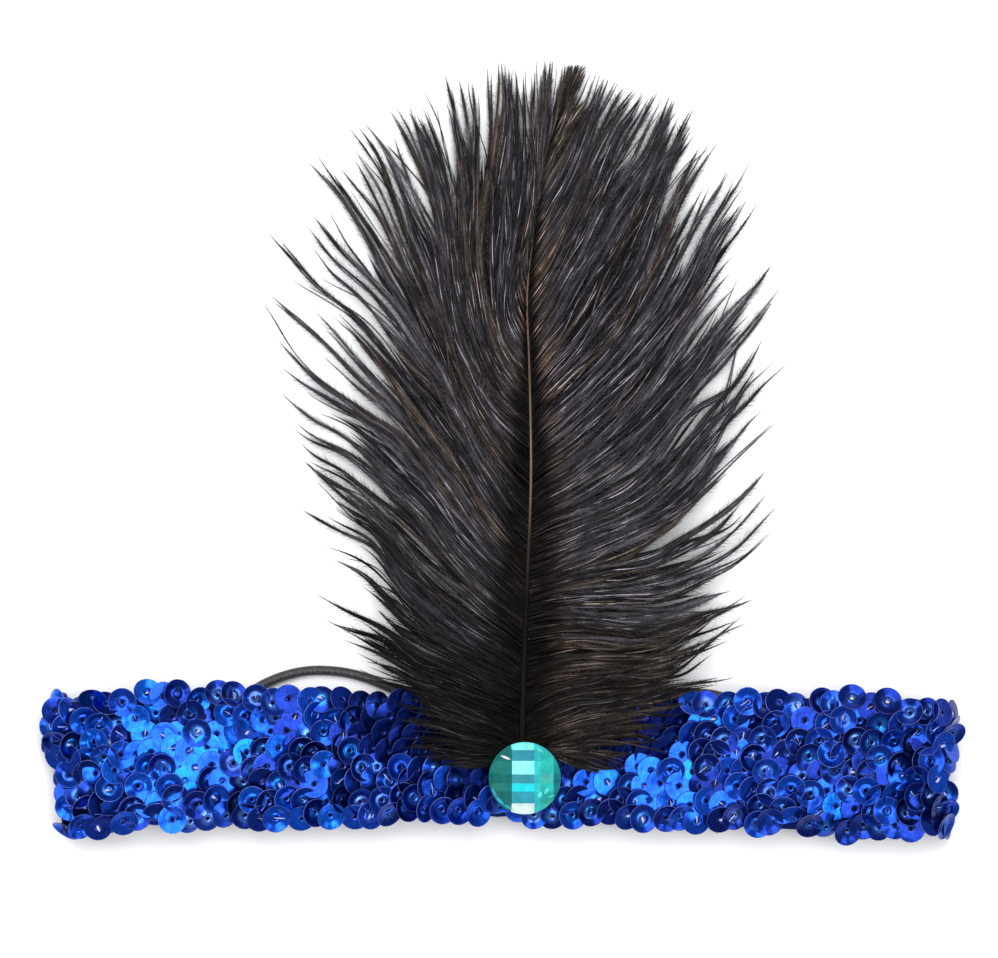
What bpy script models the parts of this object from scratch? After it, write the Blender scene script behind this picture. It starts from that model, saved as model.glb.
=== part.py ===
"""Flapper headband: a sequinned stretch band folded flat into a loop, an ostrich plume and a round faceted
stone at its front, and an elastic cord across its open back.

The headband lies face up on the plane z = 0. X runs along the band, Y from the band to the plume's tip, and Z
up, out of the band's front. The origin is on that plane, under the middle of the box round the band and plume.
Sizes are in millimetres and become metres where a mesh or a curve is made.
"""

import math
from collections import namedtuple

import bmesh
import bpy
from mathutils import Vector

MM = 0.001
GAP = 0.3  # left between pieces that touch
SURFACE_GAP = 0.01  # from the surface below to the cord that lies on it
TUBE_STEPS = 2  # extra steps to a quarter turn of the shaft and the cord

# Band
BAND_SPAN = 204.0  # from fold to fold
BAND_WALL = 2.6  # knit backing with its overlapping sequins
FOLD_RADIUS = 4.5  # of the wall's middle, round each fold
EDGE_CHAMFER = 0.7
TAIL_END_X = 82.0  # where each folded-under end stops, from the middle
FOLD_X = BAND_SPAN / 2 - FOLD_RADIUS - BAND_WALL / 2  # centre of each fold
FOLD_TURN = math.pi * FOLD_RADIUS
TAIL_Z = BAND_WALL / 2
FRONT_Z = TAIL_Z + 2 * FOLD_RADIUS
HALF_STRIP = FOLD_X + FOLD_TURN + FOLD_X - TAIL_END_X
FRONT_STEPS = 36
FOLD_STEPS = 8
TAIL_STEPS = 4

# along is measured on the strip from the middle of its front; lift is how far the strip leaves its plain path
BandRow = namedtuple("BandRow", "along lower upper lift")
BAND_ROWS = (
    BandRow(-HALF_STRIP, -78.0, -57.5, 0.0),
    BandRow(-FOLD_X - FOLD_TURN, -84.0, -53.5, 0.0),
    BandRow(-FOLD_X, -85.0, -52.6, 0.0),
    BandRow(-75.0, -83.4, -50.6, -0.4),
    BandRow(-40.0, -82.4, -52.0, -0.6),
    BandRow(0.0, -81.7, -53.3, -0.1),
    BandRow(40.0, -82.8, -52.9, -0.6),
    BandRow(75.0, -84.6, -51.8, -0.4),
    BandRow(FOLD_X, -85.0, -54.2, 0.0),
    BandRow(FOLD_X + FOLD_TURN, -84.0, -55.0, 0.0),
    BandRow(HALF_STRIP, -78.0, -57.5, 0.0),
)

# Plume: the shaft, base first, and the outline and height of the vanes beside it
BAND_TOP = FRONT_Z + BAND_WALL / 2
SHAFT_BASE_RADIUS = 0.75
SHAFT_BASE_Z = BAND_TOP + GAP + SHAFT_BASE_RADIUS
PLUME_TIP_Y = 85.0
ShaftRow = namedtuple("ShaftRow", "y x z radius")
SHAFT_ROWS = (
    ShaftRow(-69.8, 4.8, SHAFT_BASE_Z, SHAFT_BASE_RADIUS),
    ShaftRow(-64.6, 4.6, SHAFT_BASE_Z, SHAFT_BASE_RADIUS),
    ShaftRow(-54.7, 4.8, SHAFT_BASE_Z - 0.1, 0.7),
    ShaftRow(-40.0, 5.3, 11.0, 0.6),
    ShaftRow(-27.6, 5.8, 8.6, 0.45),
    ShaftRow(-5.2, 6.6, 5.6, 0.32),
    ShaftRow(20.1, 6.2, 3.8, 0.27),
    ShaftRow(33.3, 5.7, 3.3, 0.26),
    ShaftRow(42.1, 6.4, 3.0, 0.25),
    ShaftRow(59.7, 8.6, 2.5, 0.23),
    ShaftRow(72.9, 12.1, 2.1, 0.21),
    ShaftRow(84.8, 16.7, 1.7, 0.18),
)
SHAFT_STEP = 3.0
VANE_GAP = 0.4  # to the shaft, measured along X
VANE_AT_SHAFT = 2 * SHAFT_BASE_RADIUS  # thickness beside the shaft
VANE_AT_RIM = 0.8
VANE_BELOW_SHAFT = SHAFT_BASE_RADIUS  # from the shaft's middle to the vane's underside beside it
VANE_ACROSS = 7
VANE_PER_ROW = 2  # sections from one row to the next

# left and right are the vanes' rims, rim_low the rim's underside, fullness how far the barbs arch above a plane
VaneRow = namedtuple("VaneRow", "y left right rim_low fullness")
VANE_ROWS = (
    VaneRow(-69.8, -6.0, 23.0, 11.9, 0.0),
    VaneRow(-64.6, -17.8, 36.7, 11.9, 0.2),
    VaneRow(-58.0, -26.2, 41.6, 11.9, 1.2),
    VaneRow(-52.5, -30.6, 44.2, 11.4, 2.2),
    VaneRow(-41.5, -36.5, 51.5, 7.5, 3.4),
    VaneRow(-32.7, -39.5, 56.5, 4.4, 4.0),
    VaneRow(-21.7, -43.4, 59.6, 2.0, 4.5),
    VaneRow(-5.0, -48.0, 62.3, 0.4, 5.0),
    VaneRow(20.1, -52.1, 64.0, 0.0, 5.0),
    VaneRow(41.7, -51.3, 61.4, 0.0, 4.6),
    VaneRow(60.8, -44.2, 55.6, 0.0, 3.6),
    VaneRow(72.9, -31.0, 41.6, 0.2, 2.4),
    VaneRow(80.5, -16.0, 28.0, 0.5, 1.4),
    VaneRow(PLUME_TIP_Y, 3.1, 19.8, 0.8, 0.4),
)

# Stone, on the shaft's base
STONE_X = 5.2
STONE_Y = -71.5
STONE_RADIUS = 7.9
STONE_BACK_Z = SHAFT_BASE_Z + SHAFT_BASE_RADIUS + GAP
STONE_GIRDLE = 1.0
STONE_CROWN = 4.4
STONE_FACET = 2.8
STONE_FACETED_SHARE = 0.95  # of the radius, where the grid of facets stops
STONE_SIDES = 32

# Cord across the back, with a tab that holds it at each end of the strip
CORD_DIAMETER = 2.2
CORD_STEP = 2.4 * CORD_DIAMETER
CORD_Z = CORD_DIAMETER / 2 + SURFACE_GAP
CORD_GAP = 0.5  # to its tab, along X
TAB_LENGTH = 8.0
TAB_WIDTH = 12.0
TAB_BEVEL = 0.6
TAB_BEVEL_STEPS = 2
TAB_Y = -66.2
CORD_END_X = TAIL_END_X - GAP - TAB_LENGTH - CORD_GAP

RoutePoint = namedtuple("RoutePoint", "x y")
CORD_ROUTE = (
    RoutePoint(-CORD_END_X, TAB_Y),
    RoutePoint(-71.0, TAB_Y),
    RoutePoint(-67.0, -64.2),
    RoutePoint(-62.8, -60.2),
    RoutePoint(-58.0, -55.4),
    RoutePoint(-52.6, -51.5),
    RoutePoint(-46.0, -49.0),
    RoutePoint(-39.6, -48.3),
    RoutePoint(-32.0, -49.3),
    RoutePoint(-24.2, -52.2),
    RoutePoint(-14.0, -57.0),
    RoutePoint(-2.0, -60.8),
    RoutePoint(10.0, -62.0),
    RoutePoint(22.0, -60.0),
    RoutePoint(32.0, -56.4),
    RoutePoint(38.4, -54.3),
    RoutePoint(44.4, -53.4),
    RoutePoint(50.6, -54.8),
    RoutePoint(56.4, -58.2),
    RoutePoint(61.6, -62.2),
    RoutePoint(66.6, -65.3),
    RoutePoint(71.0, TAB_Y),
    RoutePoint(CORD_END_X, TAB_Y),
)


def slope(rows, index, column):
    before = rows[max(index - 1, 0)]
    after = rows[min(index + 1, len(rows) - 1)]
    return (after[column] - before[column]) / (after[0] - before[0])


def read(rows, place):
    """The row at a place, on a smooth curve through the rows. Each row's first column is its place."""
    place = min(max(place, rows[0][0]), rows[-1][0])
    index = next(i for i in range(len(rows) - 1) if place <= rows[i + 1][0])
    low, high = rows[index], rows[index + 1]
    span = high[0] - low[0]
    t = (place - low[0]) / span
    values = []
    for column in range(len(low)):
        start = slope(rows, index, column) * span
        end = slope(rows, index + 1, column) * span
        values.append(
            low[column] * (2 * t**3 - 3 * t**2 + 1)
            + start * (t**3 - 2 * t**2 + t)
            + high[column] * (3 * t**2 - 2 * t**3)
            + end * (t**3 - t**2)
        )
    return values


def along_curve(points, step):
    """Points about a step apart on a smooth curve through the given ones."""
    places = [0.0]
    for point, following in zip(points, points[1:]):
        places.append(places[-1] + math.dist(point, following))
    rows = [(place, *point) for place, point in zip(places, points)]
    count = round(places[-1] / step)
    return [read(rows, places[-1] * i / count)[1:] for i in range(count + 1)]


def make_material(name, colour, roughness, metallic=0.0):
    material = bpy.data.materials.new(name)
    material.use_nodes = True
    shader = material.node_tree.nodes["Principled BSDF"]
    shader.inputs["Base Color"].default_value = (*colour, 1.0)
    shader.inputs["Roughness"].default_value = roughness
    shader.inputs["Metallic"].default_value = metallic
    material.diffuse_color = (*colour, 1.0)
    return material


def add_piece(name, data, material):
    data.materials.append(material)
    piece = bpy.data.objects.new(name, data)
    bpy.context.scene.collection.objects.link(piece)
    return piece


def add_mesh(name, built, material, sharp_angle=40.0):
    """An object from a bmesh in millimetres, which is freed."""
    bmesh.ops.scale(built, vec=(MM, MM, MM), verts=built.verts)
    bmesh.ops.recalc_face_normals(built, faces=built.faces)
    data = bpy.data.meshes.new(name)
    built.to_mesh(data)
    built.free()
    data.shade_smooth()
    data.set_sharp_from_angle(angle=math.radians(sharp_angle))
    return add_piece(name, data, material)


def add_loft(name, sections, material):
    """A closed solid through rings of points, flat at both ends."""
    built = bmesh.new()
    rings = [[built.verts.new(point) for point in section] for section in sections]
    for ring, following in zip(rings, rings[1:]):
        for i in range(len(ring)):
            built.faces.new((ring[i - 1], ring[i], following[i], following[i - 1]))
    built.faces.new(rings[0])
    built.faces.new(rings[-1])
    return add_mesh(name, built, material)


def add_tube(name, points, material, radii=None, radius=1.0):
    """A round tube on the given points, with closed ends. Radii, where given, taper it."""
    data = bpy.data.curves.new(name, "CURVE")
    data.dimensions = "3D"
    data.bevel_depth = radius * MM
    data.bevel_resolution = TUBE_STEPS
    data.use_fill_caps = True
    spline = data.splines.new("POLY")
    spline.points.add(len(points) - 1)
    for i, point in enumerate(points):
        spline.points[i].co = (*(Vector(point) * MM), 1.0)
        spline.points[i].radius = radii[i] / radius if radii else 1.0
    return add_piece(name, data, material)


def strip_place(along):
    """The point of the strip's middle and its outward normal, in X and Z, at a distance from the front's middle."""
    side = math.copysign(1.0, along)
    distance = abs(along)
    if distance <= FOLD_X:
        return (along, FRONT_Z), (0.0, 1.0)
    if distance >= FOLD_X + FOLD_TURN:
        return (side * (2 * FOLD_X + FOLD_TURN - distance), TAIL_Z), (0.0, -1.0)
    turn = (distance - FOLD_X) / FOLD_RADIUS
    normal = (side * math.sin(turn), math.cos(turn))
    middle_z = TAIL_Z + FOLD_RADIUS
    return (side * FOLD_X + normal[0] * FOLD_RADIUS, middle_z + normal[1] * FOLD_RADIUS), normal


def strip_stations():
    """Distances along the strip where it has a section, close together round the folds."""
    def spread(start, end, steps):
        return [start + (end - start) * i / steps for i in range(steps)]

    fold_end = FOLD_X + FOLD_TURN
    return (
        spread(-HALF_STRIP, -fold_end, TAIL_STEPS)
        + spread(-fold_end, -FOLD_X, FOLD_STEPS)
        + spread(-FOLD_X, FOLD_X, FRONT_STEPS)
        + spread(FOLD_X, fold_end, FOLD_STEPS)
        + spread(fold_end, HALF_STRIP, TAIL_STEPS)
        + [HALF_STRIP]
    )


def make_band(material):
    half = BAND_WALL / 2
    cut = EDGE_CHAMFER
    sections = []
    for along in strip_stations():
        row = BandRow(*read(BAND_ROWS, along))
        (x, z), (normal_x, normal_z) = strip_place(along)
        profile = (
            (row.lower + cut, -half),
            (row.upper - cut, -half),
            (row.upper, cut - half),
            (row.upper, half - cut),
            (row.upper - cut, half),
            (row.lower + cut, half),
            (row.lower, half - cut),
            (row.lower, cut - half),
        )
        sections.append([
            (x + normal_x * (out + row.lift), y, z + normal_z * (out + row.lift)) for y, out in profile
        ])
    return add_loft("sequin_band", sections, material)


def make_shaft(material):
    points = along_curve([(row.x, row.y, row.z, row.radius) for row in SHAFT_ROWS], SHAFT_STEP)
    radii = [point[3] for point in points]
    return add_tube("feather_quill", [point[:3] for point in points], material, radii=radii)


def vane_stations():
    """The rows' places along Y and those between them."""
    places = []
    for row, following in zip(VANE_ROWS, VANE_ROWS[1:]):
        for i in range(VANE_PER_ROW):
            places.append(row.y + (following.y - row.y) * i / VANE_PER_ROW)
    return places + [VANE_ROWS[-1].y]


def make_vane(name, side, material):
    """The plume's outer form on one side of the shaft; side is -1 on the left and 1 on the right."""
    sections = []
    for y in vane_stations():
        row = VaneRow(*read(VANE_ROWS, y))
        shaft = ShaftRow(*read(SHAFT_ROWS, y))
        rim_x = row.left if side < 0 else row.right
        rim_low = max(row.rim_low, 0.0)
        shaft_x = shaft.x + side * (shaft.radius + VANE_GAP)
        shaft_low = shaft.z - VANE_BELOW_SHAFT
        above, below = [], []
        for i in range(VANE_ACROSS):
            u = i / (VANE_ACROSS - 1)
            x = shaft_x + (rim_x - shaft_x) * u
            low = shaft_low + (rim_low - shaft_low) * u
            thickness = VANE_AT_SHAFT + (VANE_AT_RIM - VANE_AT_SHAFT) * u
            arch = row.fullness * math.sin(math.pi * u)
            above.append((x, y, low + thickness + arch))
            below.append((x, y, low))
        sections.append(above + below[::-1])
    return add_loft(name, sections, material)


def make_stone(material):
    """A dome whose facets are the squares of a grid, over a straight girdle and a flat back."""
    built = bmesh.new()
    girdle_z = STONE_BACK_Z + STONE_GIRDLE
    for i in range(STONE_SIDES):
        angle = 2 * math.pi * i / STONE_SIDES
        x = STONE_X + STONE_RADIUS * math.cos(angle)
        y = STONE_Y + STONE_RADIUS * math.sin(angle)
        built.verts.new((x, y, STONE_BACK_Z))
        built.verts.new((x, y, girdle_z))
    reach = math.ceil(STONE_RADIUS / STONE_FACET)
    for column in range(-reach, reach + 1):
        for line in range(-reach, reach + 1):
            across = (column + 0.5) * STONE_FACET
            up = line * STONE_FACET
            share = math.hypot(across, up) / STONE_RADIUS
            if share < STONE_FACETED_SHARE:
                height = STONE_CROWN * (1 - share**2)
                built.verts.new((STONE_X + across, STONE_Y + up, girdle_z + height))
    hull = bmesh.ops.convex_hull(built, input=built.verts)
    bmesh.ops.delete(built, geom=hull["geom_interior"], context="VERTS")
    return add_mesh("faceted_stone", built, material, sharp_angle=3.0)


def make_tab(name, side, material):
    """The sewn end of the strip that holds the cord; side is -1 on the left and 1 on the right."""
    built = bmesh.new()
    bmesh.ops.create_cube(built, size=1.0)
    bmesh.ops.scale(built, vec=(TAB_LENGTH, TAB_WIDTH, BAND_WALL), verts=built.verts)
    bmesh.ops.bevel(built, geom=built.edges[:], offset=TAB_BEVEL, segments=TAB_BEVEL_STEPS, affect="EDGES")
    middle = side * (TAIL_END_X - GAP - TAB_LENGTH / 2)
    bmesh.ops.translate(built, vec=(middle, TAB_Y, TAIL_Z), verts=built.verts)
    return add_mesh(name, built, material)


def make_cord(material):
    points = [(x, y, CORD_Z) for x, y in along_curve(CORD_ROUTE, CORD_STEP)]
    return add_tube("elastic_cord", points, material, radius=CORD_DIAMETER / 2)


def main():
    for thing in list(bpy.data.objects):
        bpy.data.objects.remove(thing)
    make_band(make_material("blue_sequins", (0.01, 0.06, 0.45), 0.25, metallic=0.6))
    make_shaft(make_material("dark_shaft", (0.05, 0.035, 0.025), 0.5))
    barbs = make_material("black_barbs", (0.02, 0.018, 0.018), 0.6)
    make_vane("feather_vane_left", -1, barbs)
    make_vane("feather_vane_right", 1, barbs.copy())
    make_stone(make_material("teal_stone", (0.02, 0.45, 0.42), 0.08))
    make_cord(make_material("black_elastic", (0.02, 0.02, 0.022), 0.55))
    ribbon = make_material("blue_ribbon", (0.01, 0.03, 0.2), 0.7)
    make_tab("cord_tab_left", -1, ribbon)
    make_tab("cord_tab_right", 1, ribbon.copy())


main()
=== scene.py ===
"""Looks of the flapper headband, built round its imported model.

The headband lies face up on a pale floor and the camera looks straight down at it, with the light from the
plume's side. X runs along the band, Y from the band to the plume's tip and Z up. Sizes are in millimetres
and become metres where a mesh is made.
"""

import math
from collections import namedtuple

import bmesh
import bpy
import numpy as np
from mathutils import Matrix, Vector


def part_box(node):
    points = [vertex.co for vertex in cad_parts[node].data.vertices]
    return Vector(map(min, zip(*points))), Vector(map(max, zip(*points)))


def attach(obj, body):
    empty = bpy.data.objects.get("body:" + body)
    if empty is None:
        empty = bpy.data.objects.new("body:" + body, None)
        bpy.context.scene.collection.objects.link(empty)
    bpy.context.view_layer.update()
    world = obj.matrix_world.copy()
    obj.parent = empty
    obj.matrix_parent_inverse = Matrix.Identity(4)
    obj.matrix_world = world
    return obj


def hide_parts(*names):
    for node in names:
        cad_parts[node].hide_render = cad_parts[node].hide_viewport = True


MM = 0.001
SEED = 21
PLUME_SEED = 22

# Photograph's view
PIXEL = 0.22  # millimetres to one pixel of the photograph
VIEW_WIDTH = 998 * PIXEL
VIEW_X = -0.44
VIEW_Y = -6.05
CAMERA_HEIGHT = 1506.0
CAMERA_LENS = 200.0
SHARP_HEIGHT = 6.0  # where one pixel of the view is PIXEL wide

# Studio, in metres: the lights are aimed at the headband
FLOOR_HALF = 3.0
SKY_COLOUR = (0.93, 0.95, 1.0)
SKY_STRENGTH = 0.48
StudioLight = namedtuple("StudioLight", "name place size radiance")
STUDIO_LIGHTS = (
    StudioLight("key", (-0.1, 0.5, 1.15), (1.2, 0.8), 4.2),
    StudioLight("overhead", (0.4, -0.25, 2.2), (1.1, 1.1), 5.2),
    StudioLight("left", (-1.0, 0.1, 0.7), (0.2, 0.45), 7.0),
    StudioLight("right", (1.0, -0.2, 0.8), (0.2, 0.45), 6.5),
)

# Band, as in the model: along is measured on the strip from the middle of its front
BAND_WALL = 2.6
BAND_HALF_WIDTH = 102.0
SEQUIN_REACH = 1.0  # from the fold of the strip to the ends of its sequins
KNIT_WALL = 0.8
TAIL_END_X = 82.0
KNIT_INSET = 1.6  # from the band's edges to the knit's
KNIT_STATIONS = 300
KNIT_LINES = 14
BandRow = namedtuple("BandRow", "along lower upper lift")
# How an end of the band is drawn in: by top over its whole height, and by corner more at the bottom, which
# begins at Y = below and is full at a depth of over; both grow from X = inner to X = outer on its side
DrawnEnd = namedtuple("DrawnEnd", "side top corner below over inner outer")
DRAWN_ENDS = (
    DrawnEnd(-1.0, 0.9, 3.2, -64.0, 10.0, 70.0, 100.0),
    DrawnEnd(1.0, 0.0, 1.7, -60.0, 14.0, 75.0, 98.0),
)

# Sequins
SEQUIN_RADIUS = 3.15
SEQUIN_HOLE = 0.42
SEQUIN_FLAT = 1.0  # radius of the flat part round the hole
SEQUIN_MIDDLE = 2.0  # radius of a ring between it and the rim
SEQUIN_FILM = 0.09
SEQUIN_EDGE = 0.13
SEQUIN_SIDES = 22
HOLE_RING, FLAT_RING, EDGE_RING, BACK_RING = 0, 1, 3, 7  # rings of the sequin's template
SEQUIN_PITCH = 4.0
SEQUIN_ROWS = 8
SEQUIN_MARGIN = 2.8  # from the band's edge to the middles of its outer rows
SEQUIN_CLEARANCE = 0.04  # over the floor
SEQUIN_SHIFTS_ALONG = (-0.9, 0.9)
SEQUIN_SHIFTS_ACROSS = (-0.8, 0.8)
LOWEST_ROW_SHIFTS = (-0.4, 0.9)
HIGH_UP_SHARE = 0.14  # of the highest row's sequins that stand out past the others
HIGH_UP_SHIFTS = (0.8, 1.7)
SEQUIN_SUNK = 0.7  # from the top of the band's wall to the middles of the sequins
SEQUIN_HEIGHTS = (-0.25, 0.35)
# Leans along the band and across it are tangents
SEQUIN_LEAN_ALONG = 0.22
SEQUIN_LEAN_ACROSS = -0.13
SEQUIN_SPREAD_ALONG = 0.13
SEQUIN_SPREAD_ACROSS = 0.14
LOWEST_ROW_LEANS = (-0.1, 0.55)
HIGHEST_ROW_LEANS = (0.1, 0.8)
TURNED_LENGTH = 13.0  # before a fold, where the leans begin to spread more
TURNED_SPREAD = 1.8
SEQUIN_FOLD_LEAN = 0.65  # towards the sky at the band's ends
SEQUIN_FOLD_SUNK = 0.7
FOLD_LEAN_FROM = (0.3, 1.0)  # radians of the strip's turn
FOLD_LEAN_TO = (2.0, 2.8)
FLAT_SHARE = 0.75  # of the sequins in a flat patch
FLAT_LEAN_ALONG = 0.12
FLAT_LEAN_ACROSS = -0.08
FLAT_SPREAD = 0.03
# Flat sequins take the upper end of the tints, a painted light
FLAT_LEAST_SHADE = 0.62
FLAT_EVENNESS = 0.8
FLAT_EDGE = (0.7, 1.2)  # radii over which a flat patch ends
CUP_SHARE = 0.7
CUP_DEPTHS = (0.5, 1.3)
DISC_DEPTHS = (0.0, 0.15)
FACE_UP_SHARE = 0.8
ON_EDGE_ZONE = (-36.0, -5.0)  # where many sequins stand nearly on edge
ON_EDGE_SHARE = 0.6
ON_EDGE_LEANS = (0.45, 1.25)
# Sequins under the plume lie low and have painted shade, above a line that rises on both sides of
# COVERED_MIDDLE
COVERED_ZONE = (-31.0, 40.0)
COVERED_Y = -74.5
COVERED_RISE = 0.25
COVERED_MIDDLE = 5.0
COVERED_SUNK = 1.2
COVERED_DEPTH = 0.25
COVERED_SPREAD = 0.4
COVERED_LEAN_ALONG = 0.3
COVERED_LEAN_ACROSS = -0.25
# Painted shade of the covered sequins and of their rims
COVERED_SHADE = 0.2
COVERED_RIM_SHADE = 0.25
# How much of its drawn shade a sequin keeps in parts of the band; on the right the flat ones keep all of it
SHADOWED_ZONE = (-34.0, -4.0)
SHADOWED_SHADE = 0.8
RIGHT_ZONES_X = (10.0, 48.0)
RIGHT_SHADE = 0.85
SHADE_POWER = 1.2
MOST_CURVED_SHADE = 0.9
# Cups below this shade get a painted highlight in their middles
MOST_HIGHLIGHTED_SHADE = 0.6
CUP_HIGHLIGHT_POWER = 1.1
PALE_HIGHLIGHT_POWER = 1.4
SequinLayout = namedtuple("SequinLayout", "along y out lean_along lean_across depth shade glow covered")
# Film tints by shade, partly each sequin's own tone and partly painted light and shade: painted shade in the
# deep navy of most cups, painted light in the azure of flat sequins
SequinTint = namedtuple("SequinTint", "shade red green blue")
SEQUIN_TINTS_WITH_PAINTED_LIGHT = (
    SequinTint(0.0, 0.003, 0.012, 0.14),
    SequinTint(0.3, 0.006, 0.026, 0.25),
    SequinTint(0.55, 0.007, 0.052, 0.45),
    SequinTint(0.85, 0.007, 0.085, 0.62),
    SequinTint(1.0, 0.005, 0.14, 0.74),
)
# Painted highlights in the middles of cups, from cyan to pale, and cut rims
CUP_HIGHLIGHT = (0.005, 0.2, 0.72)
CUP_PALE_HIGHLIGHT = (0.17, 0.34, 0.95)
RIM_TINT = (0.15, 0.2, 0.62)
RIM_SHARES = (0.15, 1.0)
# Patches where the sequins lie flat and take the light together, with painted light in their brighter tints
FlatPatch = namedtuple("FlatPatch", "x y radius")
FLAT_PATCHES = (
    FlatPatch(-76.0, -63.0, 6.0),
    FlatPatch(-68.0, -66.0, 7.0),
    FlatPatch(-62.0, -68.0, 7.0),
    FlatPatch(-77.0, -75.0, 4.0),
    FlatPatch(26.0, -74.0, 8.0),
    FlatPatch(37.0, -73.0, 8.0),
    FlatPatch(45.0, -76.0, 6.0),
    FlatPatch(45.0, -57.0, 4.5),
    FlatPatch(71.0, -78.0, 4.5),
)

# Stitches: most are thin and reach towards the rim, the others are short and thick
STITCHED_SHARE = 0.34
THICK_STITCH_SHARE = 0.22
THICK_STITCH_REACH = 0.8
THICK_STITCH_RADIUS = 0.34
THIN_STITCH_REACHES = (0.6, 2.4)
THIN_STITCH_RADII = (0.06, 0.17)
STITCH_SIDES = 4
STITCH_CLEARANCE = 0.03
STITCH_BEFORE = 0.35  # from where it comes up to the middle of the hole
STITCH_OVER_HOLE = 0.14
STITCH_TOP = 0.26
STITCH_UNDER = 0.25  # how deep it begins
STITCH_END = 0.1  # how high and how deep its last two points are

# Plume
STATION_NEAR = 0.85  # from one barbule to the next on the inner part of a barb
STATION_FAR = 0.5
NEAR_SHARE = 0.45  # of a barb's length, its inner part
FEWEST_NEAR = 3
FEWEST_FAR = 6
CURVE_STEPS = 48
# The pale line along a barb is a painted highlight.
RIDGE_HALF = 0.12  # half the width of the pale line along a barb
TIP_HALF = 0.015  # half a barb's width at its end, and what its stem adds
STEM_HALF = 0.055
TIP_LENGTH = 1.2
HAIR_BASE = 0.13
VIOLET_SHEEN = (0.112, 0.102, 0.118)
GREY_SHEEN = (0.116, 0.106, 0.108)
BROWN_SHEEN = (0.13, 0.1, 0.085)
SHAFT_WARMTH = (1.22, 1.0, 0.78)  # factors of the sheen in the dark zone beside the shaft
# Share of the sheen left in that zone, a painted shade
SHAFT_SHADE = 0.08
# Groups of barbs: those of a strand run to one point, and the strands of a clump lean together
STRAND_SIZES = (1, 3)
CLUMP_SIZES = (2, 4)
ROOT_SHIFTS = (-0.4, 0.4)  # shares of a layer's pitch
DENSER = 0.5  # more barbs on most of the upper half
# Stretches of the shaft, by Y, over which something begins or ends
DENSER_FROM = (2.0, 9.0)
DENSER_TO = (52.0, 62.0)
CALMER_FROM = (12.0, 40.0)
GROWTH_FROM = (20.0, 45.0)
CROWDED_FROM = (16.0, 30.0)
TIP_FROM = (68.0, 76.0)
BASE_HUE_TO = (-48.0, -30.0)
TIP_HUE_FROM = (54.0, 66.0)
BASE_ZONE_TO = (-20.0, 25.0)
BASE_SHADE_TO = (-58.0, -30.0)
WARM_TO = (40.0, 62.0)
# How far clumps, strands and single barbs swing and ripple across their length
FULL_SWING_LENGTH = 45.0  # other barbs swing in proportion to theirs, within the limits
SWING_LIMITS = (0.15, 1.3)
CALMER = 0.6  # less swing near the tip
CLUMP_SWING = 0.65
STRAND_SWING = 1.3
SINGLE_SWING = 0.55
Wave = namedtuple("Wave", "height slowest fastest")
CLUMP_WAVE = Wave(0.5, 3.0, 7.0)
STRAND_WAVE = Wave(0.35, 6.0, 14.0)
SINGLE_WAVE = Wave(0.3, 7.0, 20.0)
CLUMP_GATHERS = (0.0, 0.35)
TIP_SPLIT = 0.3
# Shares of the guides' length that clumps, strands and single barbs lack or have
CLUMP_LACK = 0.015
STRAND_LACK = 0.03
SINGLE_LACK = 0.1
TIP_LACK = 1.6  # times more at the tip
MOST_LACK = 0.4
TOP_GROWTH = 0.03  # past the guides' length, of barbs rooted near the top
EARLY_BELOW = 66.0  # on the shaft, where crowded strands may end early
EARLY_SHARES = (0.42, 0.66)
# Heights in the arch, as shares of it, and the least height over the floor
STRAND_LEVELS = (-0.25, 0.25)
SINGLE_LEVEL = 0.06
LEVEL_LIMITS = (-0.2, 1.2)
LOWEST_BARB = 0.25
BARB_CLEARANCE = 0.05  # of all its points over the floor
# Hues: how much of a barb's pick is its strand's, where the greys begin, and how much browner and less warm
# beside the shaft the barbs are near the tip
STRAND_HUE = 0.6
GREY_FROM = 0.8
TIP_BROWN = 0.7
TIP_COOLER = 0.9
# Forms of single barbs and their shares of the sheen's colour: the body for the vane, lit and unlit for the
# ridge's painted highlight
BODY_SHARES = (0.06, 0.39)
LIT_SHARES = (1.2, 2.9)
UNLIT_SHARES = (0.3, 0.7)
VANE_WIDTHS = (0.28, 0.52)
TAPERS = (5.0, 11.0)
SLOPES = (0.35, 0.65)
BARBULE_LENGTHS = (1.1, 2.2)
BARBULE_SHARES = (0.4, 1.3)
BARBULE_ANGLES = (14, 42)  # degrees from the barb
BARBULE_TINTS = (0.3, 2.0)
BARBULE_DROOP = 0.15  # downwards, as a share of its length
BARBULE_DROOP_SPREAD = 0.14
LEAN_SPREAD = 0.3
TWISTS = (0.2, 0.6)
TWIST_TURNS = (0.15, 0.5)
SLOW_ROLLS = (0.2, 0.45)
FAST_ROLLS = (0.8, 1.7)
ZONE_SHARES = (0.8, 1.2)
# How a barb is formed and tinted: body and light are its vane's and its ridge's shares of the sheen's colour,
# the ridge's a painted highlight, and zone and warm are the lengths beside the shaft that stay dark with
# painted shade and warm
BarbLook = namedtuple(
    "BarbLook",
    "colour body light vane taper slope barbule lean twist turns phase zone warm",
)
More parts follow.
